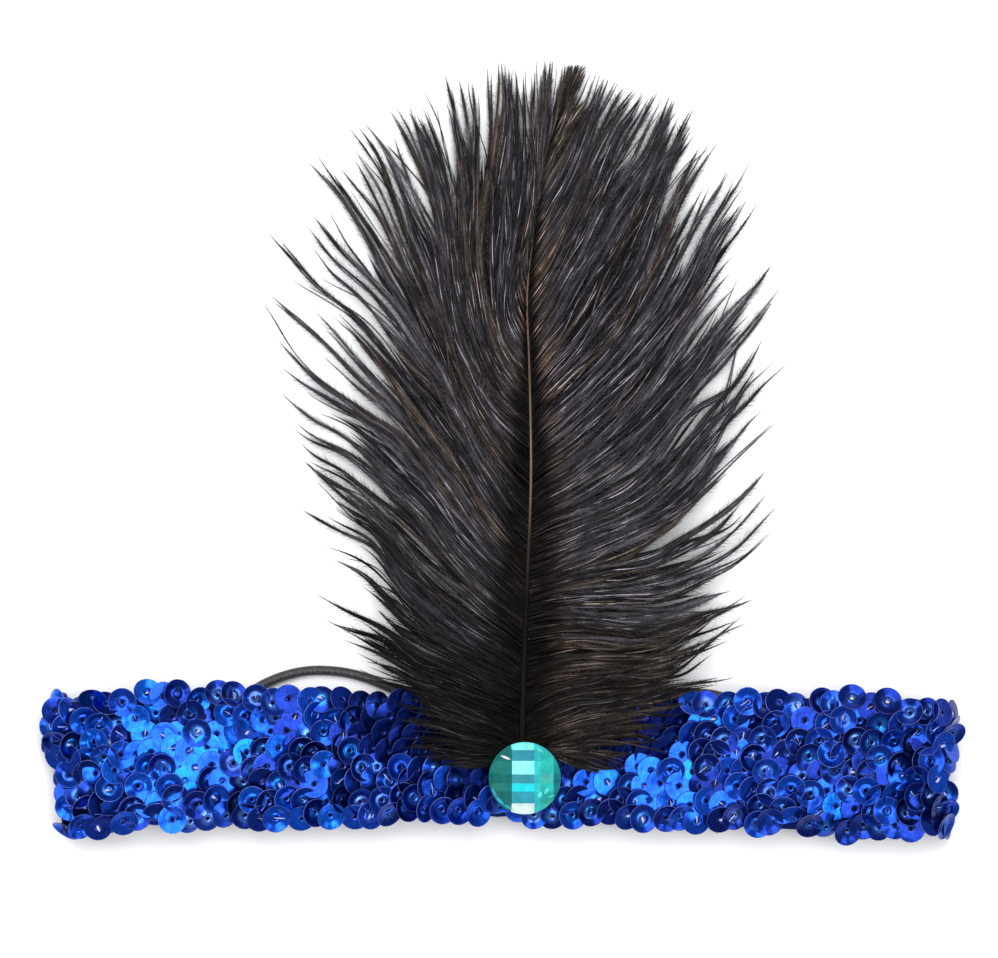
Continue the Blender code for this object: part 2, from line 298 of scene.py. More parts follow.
# A layer of barbs, rooted from low to high on the shaft: fan is how far they are rooted more closely where
# the guides fan out, reach a share of the guides' length, spread a share of the swings, level a share of the
# arch, lit the share of barbs whose ridges get a bright painted highlight, dimming a share of the sheen, low
# for the underbarbs as painted shade under the barbs above, vane a share of the width, open the length from
# the shaft to where a barb has its width, step how far apart its stations are, and hairs the number of
# barbules on each side of a barb between two stations
Layer = namedtuple(
    "Layer",
    "name pitch low high fan reach spread level lit dimming vane open step hairs parts",
)
LOW, HIGH = -1000.0, 1000.0  # past both ends of the shaft
WHOLE = (("", LOW, HIGH),)
HALVES = (("_lower", LOW, -23.0), ("_upper", -23.0, HIGH))
LAYERS = (
    Layer("barbs", 0.66, LOW, HIGH, 0.72, 1.04, 1.0, 0.7, 0.75, 1.0, 1.0, 9.0, 1.0, 2, HALVES),
    Layer("underbarbs", 0.64, LOW, HIGH, 0.0, 0.78, 1.0, 0.1, 0.4, 0.38, 1.4, 0.8, 2.2, 0, WHOLE),
    Layer("base_barbs", 0.5, LOW, -45.0, 0.0, 1.0, 1.5, 0.4, 0.45, 0.7, 1.0, 2.0, 1.2, 1, WHOLE),
    Layer("tip_barbs", 0.1, 73.0, HIGH, 0.0, 1.04, 0.3, 0.6, 0.4, 0.8, 0.8, 2.0, 1.2, 2, WHOLE),
    Layer("stray_barbs", 2.4, LOW, 60.0, 0.6, 1.04, 1.7, 0.95, 0.6, 1.0, 0.25, 9.0, 1.2, 2, WHOLE),
)
# A barb followed from the shaft to its tip: its root's place on the shaft, then places on its route
Guide = namedtuple("Guide", "root_y route")
LEFT_GUIDES = (
    Guide(-71.2, ((-0.2, -67.9), (-4.2, -68.8), (-7.9, -69.2), (-11.7, -69.2))),
    Guide(-69.6, ((-1.3, -67.2), (-7.9, -66.6), (-14.5, -65.7), (-24.2, -64.6))),
    Guide(-66.1, ((-1.3, -63.9), (-7.9, -61.9), (-14.5, -60.0), (-25.5, -58.0))),
    Guide(-62.6, ((-0.2, -60.2), (-6.8, -57.3), (-12.3, -54.9), (-18.9, -52.0), (-28.6, -48.7))),
    Guide(-59.5, ((0.4, -57.5), (-4.6, -55.3), (-11.4, -52.5), (-17.8, -50.0), (-24.4, -47.4),
        (-33.2, -43.7), (-39.8, -41.2))),
    Guide(-56.0, ((-0.2, -53.6), (-6.8, -50.9), (-13.0, -48.3), (-20.0, -45.2), (-26.6, -41.5),
        (-32.3, -38.0), (-38.9, -32.9))),
    Guide(-51.1, ((1.5, -49.2), (-3.3, -46.8), (-8.8, -44.1), (-14.7, -41.0), (-20.0, -37.5),
        (-24.4, -33.3), (-30.4, -27.6), (-37.4, -23.6), (-45.5, -20.6))),
    Guide(-47.9, ((1.3, -45.0), (-3.7, -42.1), (-9.5, -38.6), (-14.7, -34.9), (-19.6, -30.5),
        (-23.1, -26.1), (-27.9, -19.7), (-35.2, -16.2), (-46.9, -10.2))),
    Guide(-44.8, ((1.5, -42.1), (-2.9, -39.5), (-8.4, -35.8), (-14.3, -31.4), (-19.6, -26.5),
        (-23.5, -21.7), (-27.9, -15.5), (-34.1, -10.4), (-45.5, 0.1))),
    Guide(-39.3, ((1.5, -36.4), (-2.9, -33.1), (-7.9, -28.3), (-13.6, -22.6), (-18.7, -16.8),
        (-23.3, -12.7), (-29.0, -7.6), (-35.2, -2.8), (-42.9, 0.6), (-52.1, 9.1))),
    Guide(-34.2, ((2.2, -31.1), (-1.5, -27.6), (-5.9, -23.0), (-10.8, -17.7), (-15.6, -12.4), (-21.8, -6.7),
        (-27.1, -1.9), (-32.1, 3.6), (-37.8, 8.5), (-44.2, 12.7), (-51.7, 18.8))),
    Guide(-30.5, ((2.4, -27.2), (-1.3, -23.9), (-5.1, -19.5), (-9.5, -13.8), (-13.9, -7.8), (-18.3, -1.4),
        (-23.1, 4.1), (-28.8, 7.6), (-35.0, 11.1), (-42.2, 15.5), (-48.8, 22.6), (-54.1, 30.5))),
    Guide(-27.2, ((2.4, -24.1), (-1.3, -20.1), (-5.7, -14.6), (-9.7, -9.1), (-15.0, -2.1), (-20.0, 4.3),
        (-25.5, 9.6), (-32.1, 16.2), (-38.9, 24.3), (-45.8, 30.7), (-53.7, 36.9))),
    Guide(-23.0, ((2.4, -19.7), (-1.3, -15.1), (-5.3, -9.6), (-8.6, -4.1), (-11.9, 1.4), (-15.4, 6.5),
        (-19.6, 11.8), (-26.6, 20.4), (-35.0, 28.9), (-44.9, 38.0), (-53.7, 46.8))),
    Guide(-16.8, ((2.2, -12.7), (-1.5, -6.3), (-5.9, 2.1), (-9.7, 8.7), (-13.9, 14.6), (-18.3, 18.4),
        (-22.4, 23.0), (-29.5, 32.9), (-37.2, 40.1), (-43.1, 48.1), (-49.7, 55.1))),
    Guide(-12.4, ((2.9, -8.7), (-1.8, -2.5), (-6.8, 5.8), (-11.2, 14.6), (-15.6, 22.3), (-19.6, 28.7),
        (-22.4, 32.7), (-27.1, 37.7), (-33.2, 46.5), (-38.1, 54.9), (-44.7, 63.9))),
    Guide(-8.5, ((2.9, -5.0), (-2.0, 1.4), (-6.8, 9.1), (-10.8, 17.5), (-13.4, 24.3), (-18.3, 32.9),
        (-21.8, 40.1), (-27.7, 50.9), (-34.1, 58.9), (-40.5, 68.1))),
    Guide(-5.2, ((3.3, -2.1), (-1.8, 4.7), (-6.8, 13.1), (-11.2, 22.3), (-15.2, 31.6), (-21.3, 45.6),
        (-25.1, 54.2), (-29.0, 61.0), (-35.9, 69.8))),
    Guide(-1.9, ((3.3, 1.0), (-1.3, 6.0), (-5.1, 12.0), (-8.6, 19.7), (-11.4, 27.8), (-15.4, 38.8),
        (-21.3, 49.6), (-25.7, 61.5), (-32.6, 71.4))),
    Guide(1.4, ((3.3, 4.1), (-1.3, 8.7), (-5.1, 14.6), (-8.6, 23.4), (-11.2, 32.2), (-13.4, 39.9),
        (-15.2, 47.6), (-18.7, 55.1), (-23.8, 65.7), (-26.2, 73.8))),
    Guide(4.7, ((3.1, 7.4), (-2.2, 12.4), (-5.9, 19.0), (-8.4, 25.6), (-9.9, 32.2), (-11.4, 38.8),
        (-13.4, 50.9), (-15.8, 60.6), (-19.8, 70.5), (-24.6, 78.4))),
    Guide(7.4, ((2.9, 10.0), (-2.0, 16.2), (-5.1, 23.0), (-7.0, 30.0), (-8.6, 36.6), (-9.7, 44.3),
        (-11.2, 54.2), (-13.2, 64.1), (-15.4, 71.8), (-18.3, 80.0))),
    Guide(9.6, ((2.9, 12.4), (-2.0, 19.7), (-4.4, 26.9), (-5.7, 33.3), (-6.8, 41.0), (-7.0, 49.8),
        (-7.7, 59.7), (-9.9, 69.4), (-13.4, 81.7))),
    Guide(12.4, ((2.6, 16.6), (-0.2, 21.0), (-2.4, 26.3), (-4.0, 32.7), (-5.3, 39.9), (-5.7, 47.6),
        (-5.5, 57.5), (-6.2, 68.5), (-8.1, 83.3))),
    Guide(14.6, ((3.1, 18.4), (0.2, 23.0), (-1.8, 28.9), (-3.1, 35.5), (-3.7, 43.2), (-3.3, 51.4),
        (-2.6, 59.7), (-2.6, 70.7), (-3.5, 84.8))),
    Guide(16.8, ((3.7, 20.6), (0.7, 24.8), (-0.9, 29.4), (-1.3, 33.3), (-1.1, 41.5), (0.0, 51.4),
        (0.9, 61.9), (2.0, 71.6), (2.0, 85.0))),
    Guide(23.4, ((2.6, 30.7), (2.6, 37.1), (5.1, 47.6), (6.6, 59.7), (6.6, 72.9), (6.8, 84.4))),
    Guide(33.3, ((4.4, 40.4), (5.5, 49.2), (7.0, 59.7), (8.1, 71.8), (9.0, 84.8))),
    Guide(46.5, ((7.5, 54.2), (8.6, 64.1), (9.7, 73.2), (11.0, 85.0))),
    Guide(59.7, ((9.7, 66.3), (11.0, 74.0), (12.3, 84.8))),
    Guide(70.7, ((12.8, 75.6), (13.6, 80.4), (14.0, 84.9))),
    Guide(78.4, ((15.2, 81.3), (15.6, 83.3), (15.9, 85.2))),
)
RIGHT_GUIDES = (
    Guide(-71.2, ((9.7, -67.2), (16.3, -68.8), (22.9, -70.7), (28.4, -72.3))),
    Guide(-69.6, ((9.7, -66.1), (16.3, -66.8), (25.1, -67.9), (32.8, -69.0))),
    Guide(-68.0, ((9.7, -65.4), (17.4, -65.4), (25.1, -65.3), (36.7, -64.6))),
    Guide(-65.7, ((9.7, -64.3), (16.3, -62.4), (24.0, -60.6), (31.7, -59.5), (41.6, -58.0))),
    Guide(-62.6, ((8.1, -61.7), (13.0, -60.0), (19.6, -58.2), (26.6, -56.9), (33.9, -55.1), (39.4, -53.4),
        (43.1, -51.6))),
    Guide(-60.0, ((8.1, -58.9), (12.1, -57.1), (17.8, -55.3), (24.0, -54.5), (30.6, -53.6), (36.7, -51.6),
        (43.3, -50.3), (50.2, -49.4))),
    Guide(-57.3, ((7.9, -54.9), (12.1, -52.7), (18.5, -51.1), (25.5, -50.7), (32.8, -50.3), (38.3, -49.2),
        (43.3, -47.6), (49.1, -45.9))),
    Guide(-53.6, ((7.9, -52.2), (12.1, -50.7), (18.5, -49.8), (26.2, -49.4), (33.2, -48.7), (38.9, -47.2),
        (43.8, -44.5), (49.3, -41.7), (54.8, -38.4))),
    Guide(-47.6, ((7.9, -46.8), (13.0, -45.2), (19.6, -44.3), (26.6, -44.1), (33.9, -43.7), (40.0, -42.1),
        (45.5, -40.1), (51.5, -37.5), (58.3, -35.5))),
    Guide(-41.5, ((9.2, -40.6), (15.6, -40.1), (22.2, -40.6), (29.3, -40.8), (35.4, -40.1), (41.1, -38.2),
        (46.4, -35.5), (52.1, -32.7), (58.7, -29.4))),
    Guide(-36.2, ((9.9, -35.1), (16.3, -34.9), (22.9, -35.1), (29.5, -35.5), (35.0, -35.3), (39.4, -34.0),
        (43.8, -32.0), (50.8, -28.9), (60.1, -22.6))),
    Guide(-31.8, ((9.9, -30.5), (15.2, -29.4), (21.1, -28.5), (27.9, -27.6), (35.0, -25.9), (42.0, -23.4),
        (47.7, -21.2), (53.0, -18.1), (57.9, -14.0), (63.1, -8.5))),
    Guide(-29.1, ((10.1, -27.6), (15.2, -25.4), (21.3, -23.0), (27.9, -20.4), (35.0, -17.3), (42.0, -12.4),
        (47.7, -6.9), (53.7, -1.6), (59.2, 2.5))),
    Guide(-26.9, ((9.9, -25.2), (14.3, -23.2), (20.0, -20.6), (26.2, -17.9), (32.8, -15.1), (39.4, -11.3),
        (44.9, -6.3), (49.9, -0.3), (55.2, 6.5), (62.0, 12.7))),
    Guide(-23.4, ((9.7, -21.7), (14.7, -19.7), (20.2, -17.3), (26.2, -14.8), (32.3, -11.6), (38.3, -6.7),
        (43.8, -1.0), (49.3, 5.8), (55.4, 12.0), (65.1, 21.4))),
    Guide(-20.6, ((9.7, -18.8), (15.2, -16.8), (21.3, -14.2), (28.4, -10.7), (35.0, -6.3), (40.5, -0.8),
        (46.0, 5.2), (51.9, 10.9), (55.2, 17.5), (61.8, 28.9))),
    Guide(-15.1, ((9.7, -12.9), (14.7, -10.4), (20.0, -7.2), (25.5, -3.2), (31.2, 1.6), (36.7, 7.4),
        (42.0, 14.4), (47.7, 22.3), (54.1, 28.9), (59.8, 35.5))),
    Guide(-11.6, ((9.9, -9.1), (15.2, -6.0), (21.1, -1.9), (26.6, 3.0), (32.1, 8.2), (37.4, 13.3),
        (43.1, 18.8), (48.6, 25.4), (53.7, 32.0), (61.6, 45.2))),
    Guide(-8.9, ((9.9, -6.3), (15.2, -3.2), (20.0, 0.6), (25.3, 4.7), (30.4, 10.4), (35.0, 17.5),
        (38.9, 25.2), (43.1, 33.1), (47.3, 40.4), (52.8, 46.5), (58.7, 52.9))),
    Guide(-3.2, ((9.7, -0.1), (14.1, 3.0), (18.5, 6.9), (23.3, 11.8), (28.4, 17.1), (33.2, 22.8),
        (38.1, 29.4), (42.7, 36.4), (47.5, 44.1), (52.4, 52.5), (56.8, 61.5))),
    Guide(0.3, ((9.2, 3.4), (13.0, 6.5), (17.4, 10.4), (22.0, 15.3), (26.6, 20.1), (31.2, 25.9),
        (35.4, 31.6), (39.8, 39.9), (44.2, 49.6), (49.7, 57.5), (55.9, 67.0))),
    Guide(3.4, ((9.0, 6.7), (12.3, 10.0), (16.7, 14.0), (21.1, 18.8), (25.1, 23.4), (29.5, 28.9),
        (33.9, 35.1), (37.6, 41.7), (41.6, 49.2), (45.3, 57.5), (49.7, 67.2))),
    Guide(6.9, ((8.8, 10.0), (12.1, 13.1), (15.8, 17.1), (20.0, 21.9), (23.8, 26.5), (27.7, 32.2),
        (30.8, 38.2), (34.1, 45.4), (38.5, 54.2), (43.8, 62.6), (48.2, 69.0))),
    Guide(10.7, ((8.8, 13.5), (11.2, 16.6), (14.7, 20.1), (18.5, 24.5), (21.8, 29.4), (24.6, 34.0),
        (27.7, 39.3), (30.6, 45.9), (33.9, 55.3), (37.4, 65.5), (42.7, 74.0))),
    Guide(22.3, ((9.0, 26.1), (12.1, 30.0), (15.6, 36.0), (19.1, 40.8), (22.2, 45.9), (25.7, 52.7),
        (29.7, 59.5), (32.8, 65.9), (37.0, 77.5))),
    Guide(26.7, ((8.6, 30.7), (11.7, 35.5), (15.2, 41.0), (18.5, 46.5), (21.8, 54.5), (25.5, 61.5),
        (28.6, 65.9), (31.7, 71.8), (35.2, 78.4))),
    Guide(30.7, ((8.8, 34.9), (11.4, 38.8), (14.7, 44.3), (18.0, 49.8), (20.9, 56.0), (23.3, 62.4),
        (26.6, 69.4), (29.5, 72.9), (32.1, 77.1))),
    Guide(35.1, ((8.8, 39.3), (11.2, 43.2), (13.9, 48.3), (16.7, 54.0), (19.6, 60.6), (22.4, 67.0),
        (25.5, 72.9), (29.9, 78.0))),
    Guide(39.9, ((9.0, 44.3), (12.1, 50.0), (15.0, 55.3), (18.0, 62.4), (21.1, 69.6), (24.4, 76.0),
        (27.3, 80.8))),
    Guide(44.3, ((9.2, 47.9), (11.9, 52.5), (14.3, 56.2), (16.3, 60.8), (18.7, 67.4), (21.3, 74.7),
        (24.2, 81.7))),
    Guide(56.4, ((10.1, 61.5), (12.1, 65.5), (14.5, 69.4), (17.6, 73.8), (19.8, 76.5), (21.8, 82.2))),
    Guide(66.3, ((13.0, 71.2), (15.6, 77.8), (18.7, 84.4))),
    Guide(72.9, ((14.1, 77.3), (16.2, 81.3), (18.6, 84.6))),
    Guide(78.4, ((15.6, 81.3), (15.8, 83.3), (16.2, 85.2))),
)
# A side of the plume: the shares of brown barbs and the dark zones of painted shade beside its shaft, low
# down and higher up, how far from the shaft it is warm and how light it is at its base; crowded is the share
# of the strands on the upper half that end early, and ragged the rows that say how much of its length a
# strand may lack, by its root
Side = namedtuple(
    "Side",
    "name guides brown_below brown_above zone_below zone_above warm base_shade crowded ragged",
)
RaggedRow = namedtuple("RaggedRow", "root_y lack")
LEFT_RAGGED = (
    RaggedRow(-72.0, 0.22),
    RaggedRow(-63.0, 0.24),
    RaggedRow(-58.5, 0.52),
    RaggedRow(-50.0, 0.46),
    RaggedRow(-42.0, 0.32),
    RaggedRow(-34.0, 0.34),
    RaggedRow(-26.0, 0.38),
    RaggedRow(-20.0, 0.34),
    RaggedRow(-15.0, 0.24),
    RaggedRow(-11.0, 0.1),
    RaggedRow(6.0, 0.09),
    RaggedRow(16.0, 0.03),
    RaggedRow(80.0, 0.03),
)
RIGHT_RAGGED = (
    RaggedRow(-72.0, 0.4),
    RaggedRow(-57.0, 0.34),
    RaggedRow(-45.0, 0.4),
    RaggedRow(-36.0, 0.25),
    RaggedRow(-29.0, 0.22),
    RaggedRow(-25.0, 0.28),
    RaggedRow(-18.0, 0.18),
    RaggedRow(-8.0, 0.2),
    RaggedRow(3.0, 0.16),
    RaggedRow(11.0, 0.1),
    RaggedRow(18.0, 0.03),
    RaggedRow(80.0, 0.03),
)
SIDES = (
    Side("left", LEFT_GUIDES, 0.2, 0.36, 9.8, 3.0, 4.0, 0.18, 0.5, LEFT_RAGGED),
    Side("right", RIGHT_GUIDES, 0.65, 0.14, 7.8, 3.4, 8.0, 0.42, 0.1, RIGHT_RAGGED),
)
PlumeRow = namedtuple("PlumeRow", "y shaft_x shaft_z rim_z arch")
PLUME_ROWS = (
    PlumeRow(-69.8, 4.8, 12.65, 13.4, 0.5),
    PlumeRow(-64.6, 4.6, 12.65, 13.4, 0.8),
    PlumeRow(-54.7, 4.8, 12.55, 12.8, 2.0),
    PlumeRow(-40.0, 5.3, 11.0, 7.4, 3.2),
    PlumeRow(-27.6, 5.8, 8.6, 3.4, 3.8),
    PlumeRow(-5.2, 6.6, 5.6, 1.0, 4.2),
    PlumeRow(20.1, 6.2, 3.8, 0.6, 4.2),
    PlumeRow(33.3, 5.7, 3.3, 0.6, 4.0),
    PlumeRow(42.1, 6.4, 3.0, 0.6, 3.8),
    PlumeRow(59.7, 8.6, 2.5, 0.6, 3.0),
    PlumeRow(72.9, 12.1, 2.1, 0.8, 1.8),
    PlumeRow(84.8, 16.7, 1.7, 1.0, 0.6),
)

# Stone, in millimetres from its middle; each facet's tint is a painted reflection: the facets between two
# columns have one tint, those of the widest one a tint for each line
STONE_COLUMNS = (-7.9, -5.4, -2.8, 2.1, 3.4, 6.3, 7.9)
STONE_LINES = (-7.9, -5.4, -2.75, -0.95, 1.0, 3.9, 6.2, 7.9)
STONE_WIDEST = 2
STONE_COLUMN_PAINTED_LIGHT = (
    (0.009, 0.15, 0.125),
    (0.011, 0.14, 0.13),
    (0.0, 0.0, 0.0),  # the widest has tints of its own
    (0.03, 0.42, 0.45),
    (0.022, 0.36, 0.32),
    (0.014, 0.2, 0.21),
)
STONE_LINE_PAINTED_LIGHT = (
    (0.6, 0.75, 0.72),
    (0.032, 0.28, 0.36),
    (0.02, 0.58, 0.65),
    (0.016, 0.22, 0.27),
    (0.2, 0.74, 0.74),
    (0.032, 0.23, 0.3),
    (0.17, 0.72, 0.67),
)
# Painted glints of the foil behind the stone: middles, half sizes, turns in degrees, and where they start to
# fade
Glint = namedtuple("Glint", "x y long wide turn soft red green blue")
STONE_PAINTED_GLINTS = (
    Glint(1.0, -66.9, 1.3, 0.3, -20.0, 0.5, 0.75, 0.8, 0.78),
    Glint(-1.55, -74.5, 1.3, 0.28, -65.0, 0.4, 0.03, 0.45, 0.7),
    Glint(-0.25, -76.4, 1.5, 0.36, -47.0, 0.4, 0.03, 0.5, 0.75),
    Glint(1.6, -77.8, 1.3, 0.28, -29.0, 0.4, 0.03, 0.45, 0.65),
    Glint(8.5, -75.0, 0.85, 0.55, 65.0, 0.6, 0.09, 0.75, 0.68),
    Glint(9.9, -74.2, 0.9, 0.35, 60.0, 0.6, 0.09, 0.72, 0.66),
    Glint(11.0, -75.4, 1.0, 0.22, 20.0, 0.4, 0.06, 0.7, 0.6),
    Glint(8.4, -65.3, 1.1, 0.28, -30.0, 0.4, 0.12, 0.6, 0.52),
)
STONE_GIRDLE = 1.0
STONE_GIRDLE_TINT = (0.02, 0.4, 0.5)
STONE_SIDES = 48
STONE_DROP_X = 0.8  # the dome's drop along X as a share of its drop along Y
STONE_GRID_REACH = 0.93  # of its radius, within which the facets have corners
STONE_FLATNESS = 0.02  # radians under which two faces of the hull are one facet
# Every other line of facets gets painted light.
STONE_EVEN_LINE = 1.15  # facets of every other line are lighter
STONE_ODD_LINE = 0.92

# Cord's route on the surface, as in the model
CORD_DIAMETER = 2.2
CORD_Z = CORD_DIAMETER / 2 + 0.01
CORD_SIDES = 16
CORD_STEPS = 160
TAB_Y = -66.2
TAB_ACROSS = 17
TAB_UP = 9
TAB_ROUNDING = 0.35  # a power, of 1 for an oval section and 0 for a square one
TAB_DRAWN_IN = 0.16  # share of its width in the middle
TAB_THINNED = 0.25  # share of its thickness at the ends
CORD_END_X = 73.2
RoutePoint = namedtuple("RoutePoint", "x y")
CORD_ROUTE = (
    RoutePoint(-CORD_END_X, TAB_Y),
    RoutePoint(-71.0, TAB_Y),
    RoutePoint(-67.0, -64.2),
    RoutePoint(-62.8, -60.2),
    RoutePoint(-58.0, -55.4),
    RoutePoint(-52.6, -51.5),
    RoutePoint(-46.0, -49.0),
    RoutePoint(-39.6, -48.3),
    RoutePoint(-32.0, -49.3),
    RoutePoint(-24.2, -52.2),
    RoutePoint(-14.0, -57.0),
    RoutePoint(-2.0, -60.8),
    RoutePoint(10.0, -62.0),
    RoutePoint(22.0, -60.0),
    RoutePoint(32.0, -56.4),
    RoutePoint(38.4, -54.3),
    RoutePoint(44.4, -53.4),
    RoutePoint(50.6, -54.8),
    RoutePoint(56.4, -58.2),
    RoutePoint(61.6, -62.2),
    RoutePoint(66.6, -65.3),
    RoutePoint(71.0, TAB_Y),
    RoutePoint(CORD_END_X, TAB_Y),
)

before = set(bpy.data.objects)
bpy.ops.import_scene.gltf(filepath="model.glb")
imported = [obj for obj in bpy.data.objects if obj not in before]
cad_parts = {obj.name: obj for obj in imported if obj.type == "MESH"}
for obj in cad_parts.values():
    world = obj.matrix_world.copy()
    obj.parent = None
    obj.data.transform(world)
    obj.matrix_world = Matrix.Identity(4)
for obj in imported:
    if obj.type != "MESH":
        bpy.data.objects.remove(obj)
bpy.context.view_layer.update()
random = np.random.default_rng(SEED)

FRONT_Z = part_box("sequin_band")[1][2] / MM - BAND_WALL / 2
TAIL_Z = BAND_WALL / 2
FOLD_RADIUS = (FRONT_Z - TAIL_Z) / 2
FOLD_X = BAND_HALF_WIDTH - SEQUIN_REACH - FOLD_RADIUS - BAND_WALL / 2
FOLD_TURN = math.pi * FOLD_RADIUS
HALF_STRIP = FOLD_X + FOLD_TURN + FOLD_X - TAIL_END_X
BAND_ROWS = (
    BandRow(-HALF_STRIP, -78.0, -57.5, 0.0),
    BandRow(-FOLD_X - FOLD_TURN, -84.0, -53.5, 0.0),
    BandRow(-FOLD_X, -85.0, -53.4, 0.0),
    BandRow(-75.0, -83.4, -51.4, -0.4),
    BandRow(-40.0, -82.7, -52.0, -0.6),
    BandRow(0.0, -81.7, -53.3, -0.1),
    BandRow(40.0, -83.4, -52.7, -0.6),
    BandRow(75.0, -85.0, -52.8, -0.4),
    BandRow(FOLD_X, -85.2, -54.8, 0.0),
    BandRow(FOLD_X + FOLD_TURN, -84.0, -55.0, 0.0),
    BandRow(HALF_STRIP, -78.0, -57.5, 0.0),
)


def read_rows(rows, places):
    """The rows' columns at places along their first one, on a smooth curve through the rows."""
    table = np.array(rows, float)
    known = table[:, 0]
    before = np.maximum(np.arange(len(known)) - 1, 0)
    after = np.minimum(np.arange(len(known)) + 1, len(known) - 1)
    slopes = (table[after] - table[before]) / (known[after] - known[before])[:, None]
    places = np.clip(np.asarray(places, float), known[0], known[-1])
    index = np.clip(np.searchsorted(known, places, side="right") - 1, 0, len(known) - 2)
    span = (known[index + 1] - known[index])[..., None]
    t = (places - known[index])[..., None] / span
    return (
        table[index] * (2 * t**3 - 3 * t**2 + 1)
        + slopes[index] * span * (t**3 - 2 * t**2 + t)
        + table[index + 1] * (3 * t**2 - 2 * t**3)
        + slopes[index + 1] * span * (t**3 - t**2)
    )


def smooth_step(low, high, values):
    t = np.clip((values - low) / (high - low), 0.0, 1.0)
    return t * t * (3 - 2 * t)


def between(values, zone):
    return (values > zone[0]) & (values < zone[1])


def unit(vectors):
    return vectors / np.linalg.norm(vectors, axis=-1, keepdims=True)


def make_object(name, points, faces, material, tint=None, marks=None, flow=None):
    """A piece from arrays: points in millimetres, and faces in arrays of equal corner counts."""
    mesh = bpy.data.meshes.new(name)
    corners = np.concatenate([group.ravel() for group in faces]).astype(np.int32)
    sizes = np.concatenate([np.full(len(group), group.shape[1]) for group in faces])
    starts = np.concatenate([[0], np.cumsum(sizes)[:-1]]).astype(np.int32)
    mesh.vertices.add(len(points))
    mesh.vertices.foreach_set("co", (points * MM).astype(np.float32).ravel())
    mesh.loops.add(len(corners))
    mesh.loops.foreach_set("vertex_index", corners)
    mesh.polygons.add(len(sizes))
    mesh.polygons.foreach_set("loop_start", starts)
    mesh.polygons.foreach_set("use_smooth", np.full(len(sizes), True))
    mesh.update(calc_edges=True)
    mesh.validate()
    if tint is not None:
        colours = np.concatenate([tint, np.ones((len(tint), 1))], axis=1)
        mesh.color_attributes.new("tint", "FLOAT_COLOR", "POINT")
        mesh.color_attributes["tint"].data.foreach_set("color", colours.astype(np.float32).ravel())
    if marks is not None:
        mesh.attributes.new("mark", "FLOAT", "POINT")
        mesh.attributes["mark"].data.foreach_set("value", marks.astype(np.float32))
    if flow is not None:
        mesh.attributes.new("flow", "FLOAT_VECTOR", "POINT")
        mesh.attributes["flow"].data.foreach_set("vector", flow.astype(np.float32).ravel())
    mesh.materials.append(material)
    piece = bpy.data.objects.new(name, mesh)
    bpy.context.scene.collection.objects.link(piece)
    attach(piece, "root")
    return piece


def ring_faces(rings, sides, closed=False):
    """Quads between rings of points, each closed on itself; closed also joins the last ring to the first."""
    last = rings if closed else rings - 1
    ring, side = np.meshgrid(np.arange(last), np.arange(sides), indexing="ij")
    following = (ring + 1) % rings
    beside = (side + 1) % sides
    quads = (ring * sides + side, ring * sides + beside, following * sides + beside, following * sides + side)
    return np.stack(quads, axis=-1).reshape(-1, 4)


def repeated(faces, copies, points):
    """The faces of many alike parts in one mesh, each part with the same number of points."""
    return (faces[None] + (np.arange(copies) * points)[:, None, None]).reshape(-1, faces.shape[1])


def end_caps(count, sides):
    """Faces over the first and the last ring of so many points, with so many sides to a ring."""
    return np.array([np.arange(sides)[::-1], count - sides + np.arange(sides)])


def tube_arrays(points, radius, sides):
    """Points and quads of a round tube on a line of points, open at its ends."""
    tangent = unit(np.gradient(points, axis=0))
    across = unit(np.cross(tangent, (0.0, 0.0, 1.0)))
    above = np.cross(across, tangent)
    angle = 2 * np.pi * np.arange(sides) / sides
    spokes = np.cos(angle)[None, :, None] * across[:, None] + np.sin(angle)[None, :, None] * above[:, None]
    rings = points[:, None] + spokes * radius
    return rings.reshape(-1, 3), ring_faces(len(points), sides)


# Materials


def new_material(name, roughness, **values):
    """A material, its node tree and its shader, with constant values on the shader's own sockets."""
    material = bpy.data.materials.new(name)
    material.use_nodes = True
    tree = material.node_tree
    shader = tree.nodes["Principled BSDF"]
    shader.inputs["Roughness"].default_value = roughness
    for socket, value in values.items():
        shader.inputs[socket.replace("_", " ")].default_value = value
    return material, tree, shader


def add_node(tree, kind, **settings):
    node = tree.nodes.new(kind)
    for name, value in settings.items():
        if name in node.inputs:
            node.inputs[name].default_value = value
        else:
            setattr(node, name, value)
    return node


def object_place(tree):
    return add_node(tree, "ShaderNodeTexCoord").outputs["Object"]


def noise(tree, scale, detail=3.0, stretch=(1.0, 1.0, 1.0)):
    """Noise in the piece's own space, from 0 to 1, drawn out where a stretch is under 1."""
    mapping = add_node(tree, "ShaderNodeMapping", Scale=stretch)
    tree.links.new(object_place(tree), mapping.inputs["Vector"])
    texture = add_node(tree, "ShaderNodeTexNoise", Scale=scale, Detail=detail)
    tree.links.new(mapping.outputs["Vector"], texture.inputs["Vector"])
    return texture.outputs["Fac"]


def mapped(tree, value, low, high, from_low=0.3, from_high=0.7):
    node = add_node(tree, "ShaderNodeMapRange")
    node.inputs["From Min"].default_value = from_low
    node.inputs["From Max"].default_value = from_high
    node.inputs["To Min"].default_value = low
    node.inputs["To Max"].default_value = high
    tree.links.new(value, node.inputs["Value"])
    return node.outputs["Result"]


def scaled_colour(tree, colour, factor):
    """A colour output times a factor output."""
    node = add_node(tree, "ShaderNodeVectorMath", operation="SCALE")
    tree.links.new(colour, node.inputs["Vector"])
    tree.links.new(factor, node.inputs["Scale"])
    return node.outputs["Vector"]


def colour_between(tree, factor, *stops):
    """A colour ramp on a factor output; each stop is a place and a colour."""
    node = add_node(tree, "ShaderNodeValToRGB")
    while len(node.color_ramp.elements) < len(stops):
        node.color_ramp.elements.new(0.5)
    for element, (place, colour) in zip(node.color_ramp.elements, stops):
        element.position = place
        element.color = (*colour, 1.0)
    tree.links.new(factor, node.inputs["Fac"])
    return node.outputs["Color"]


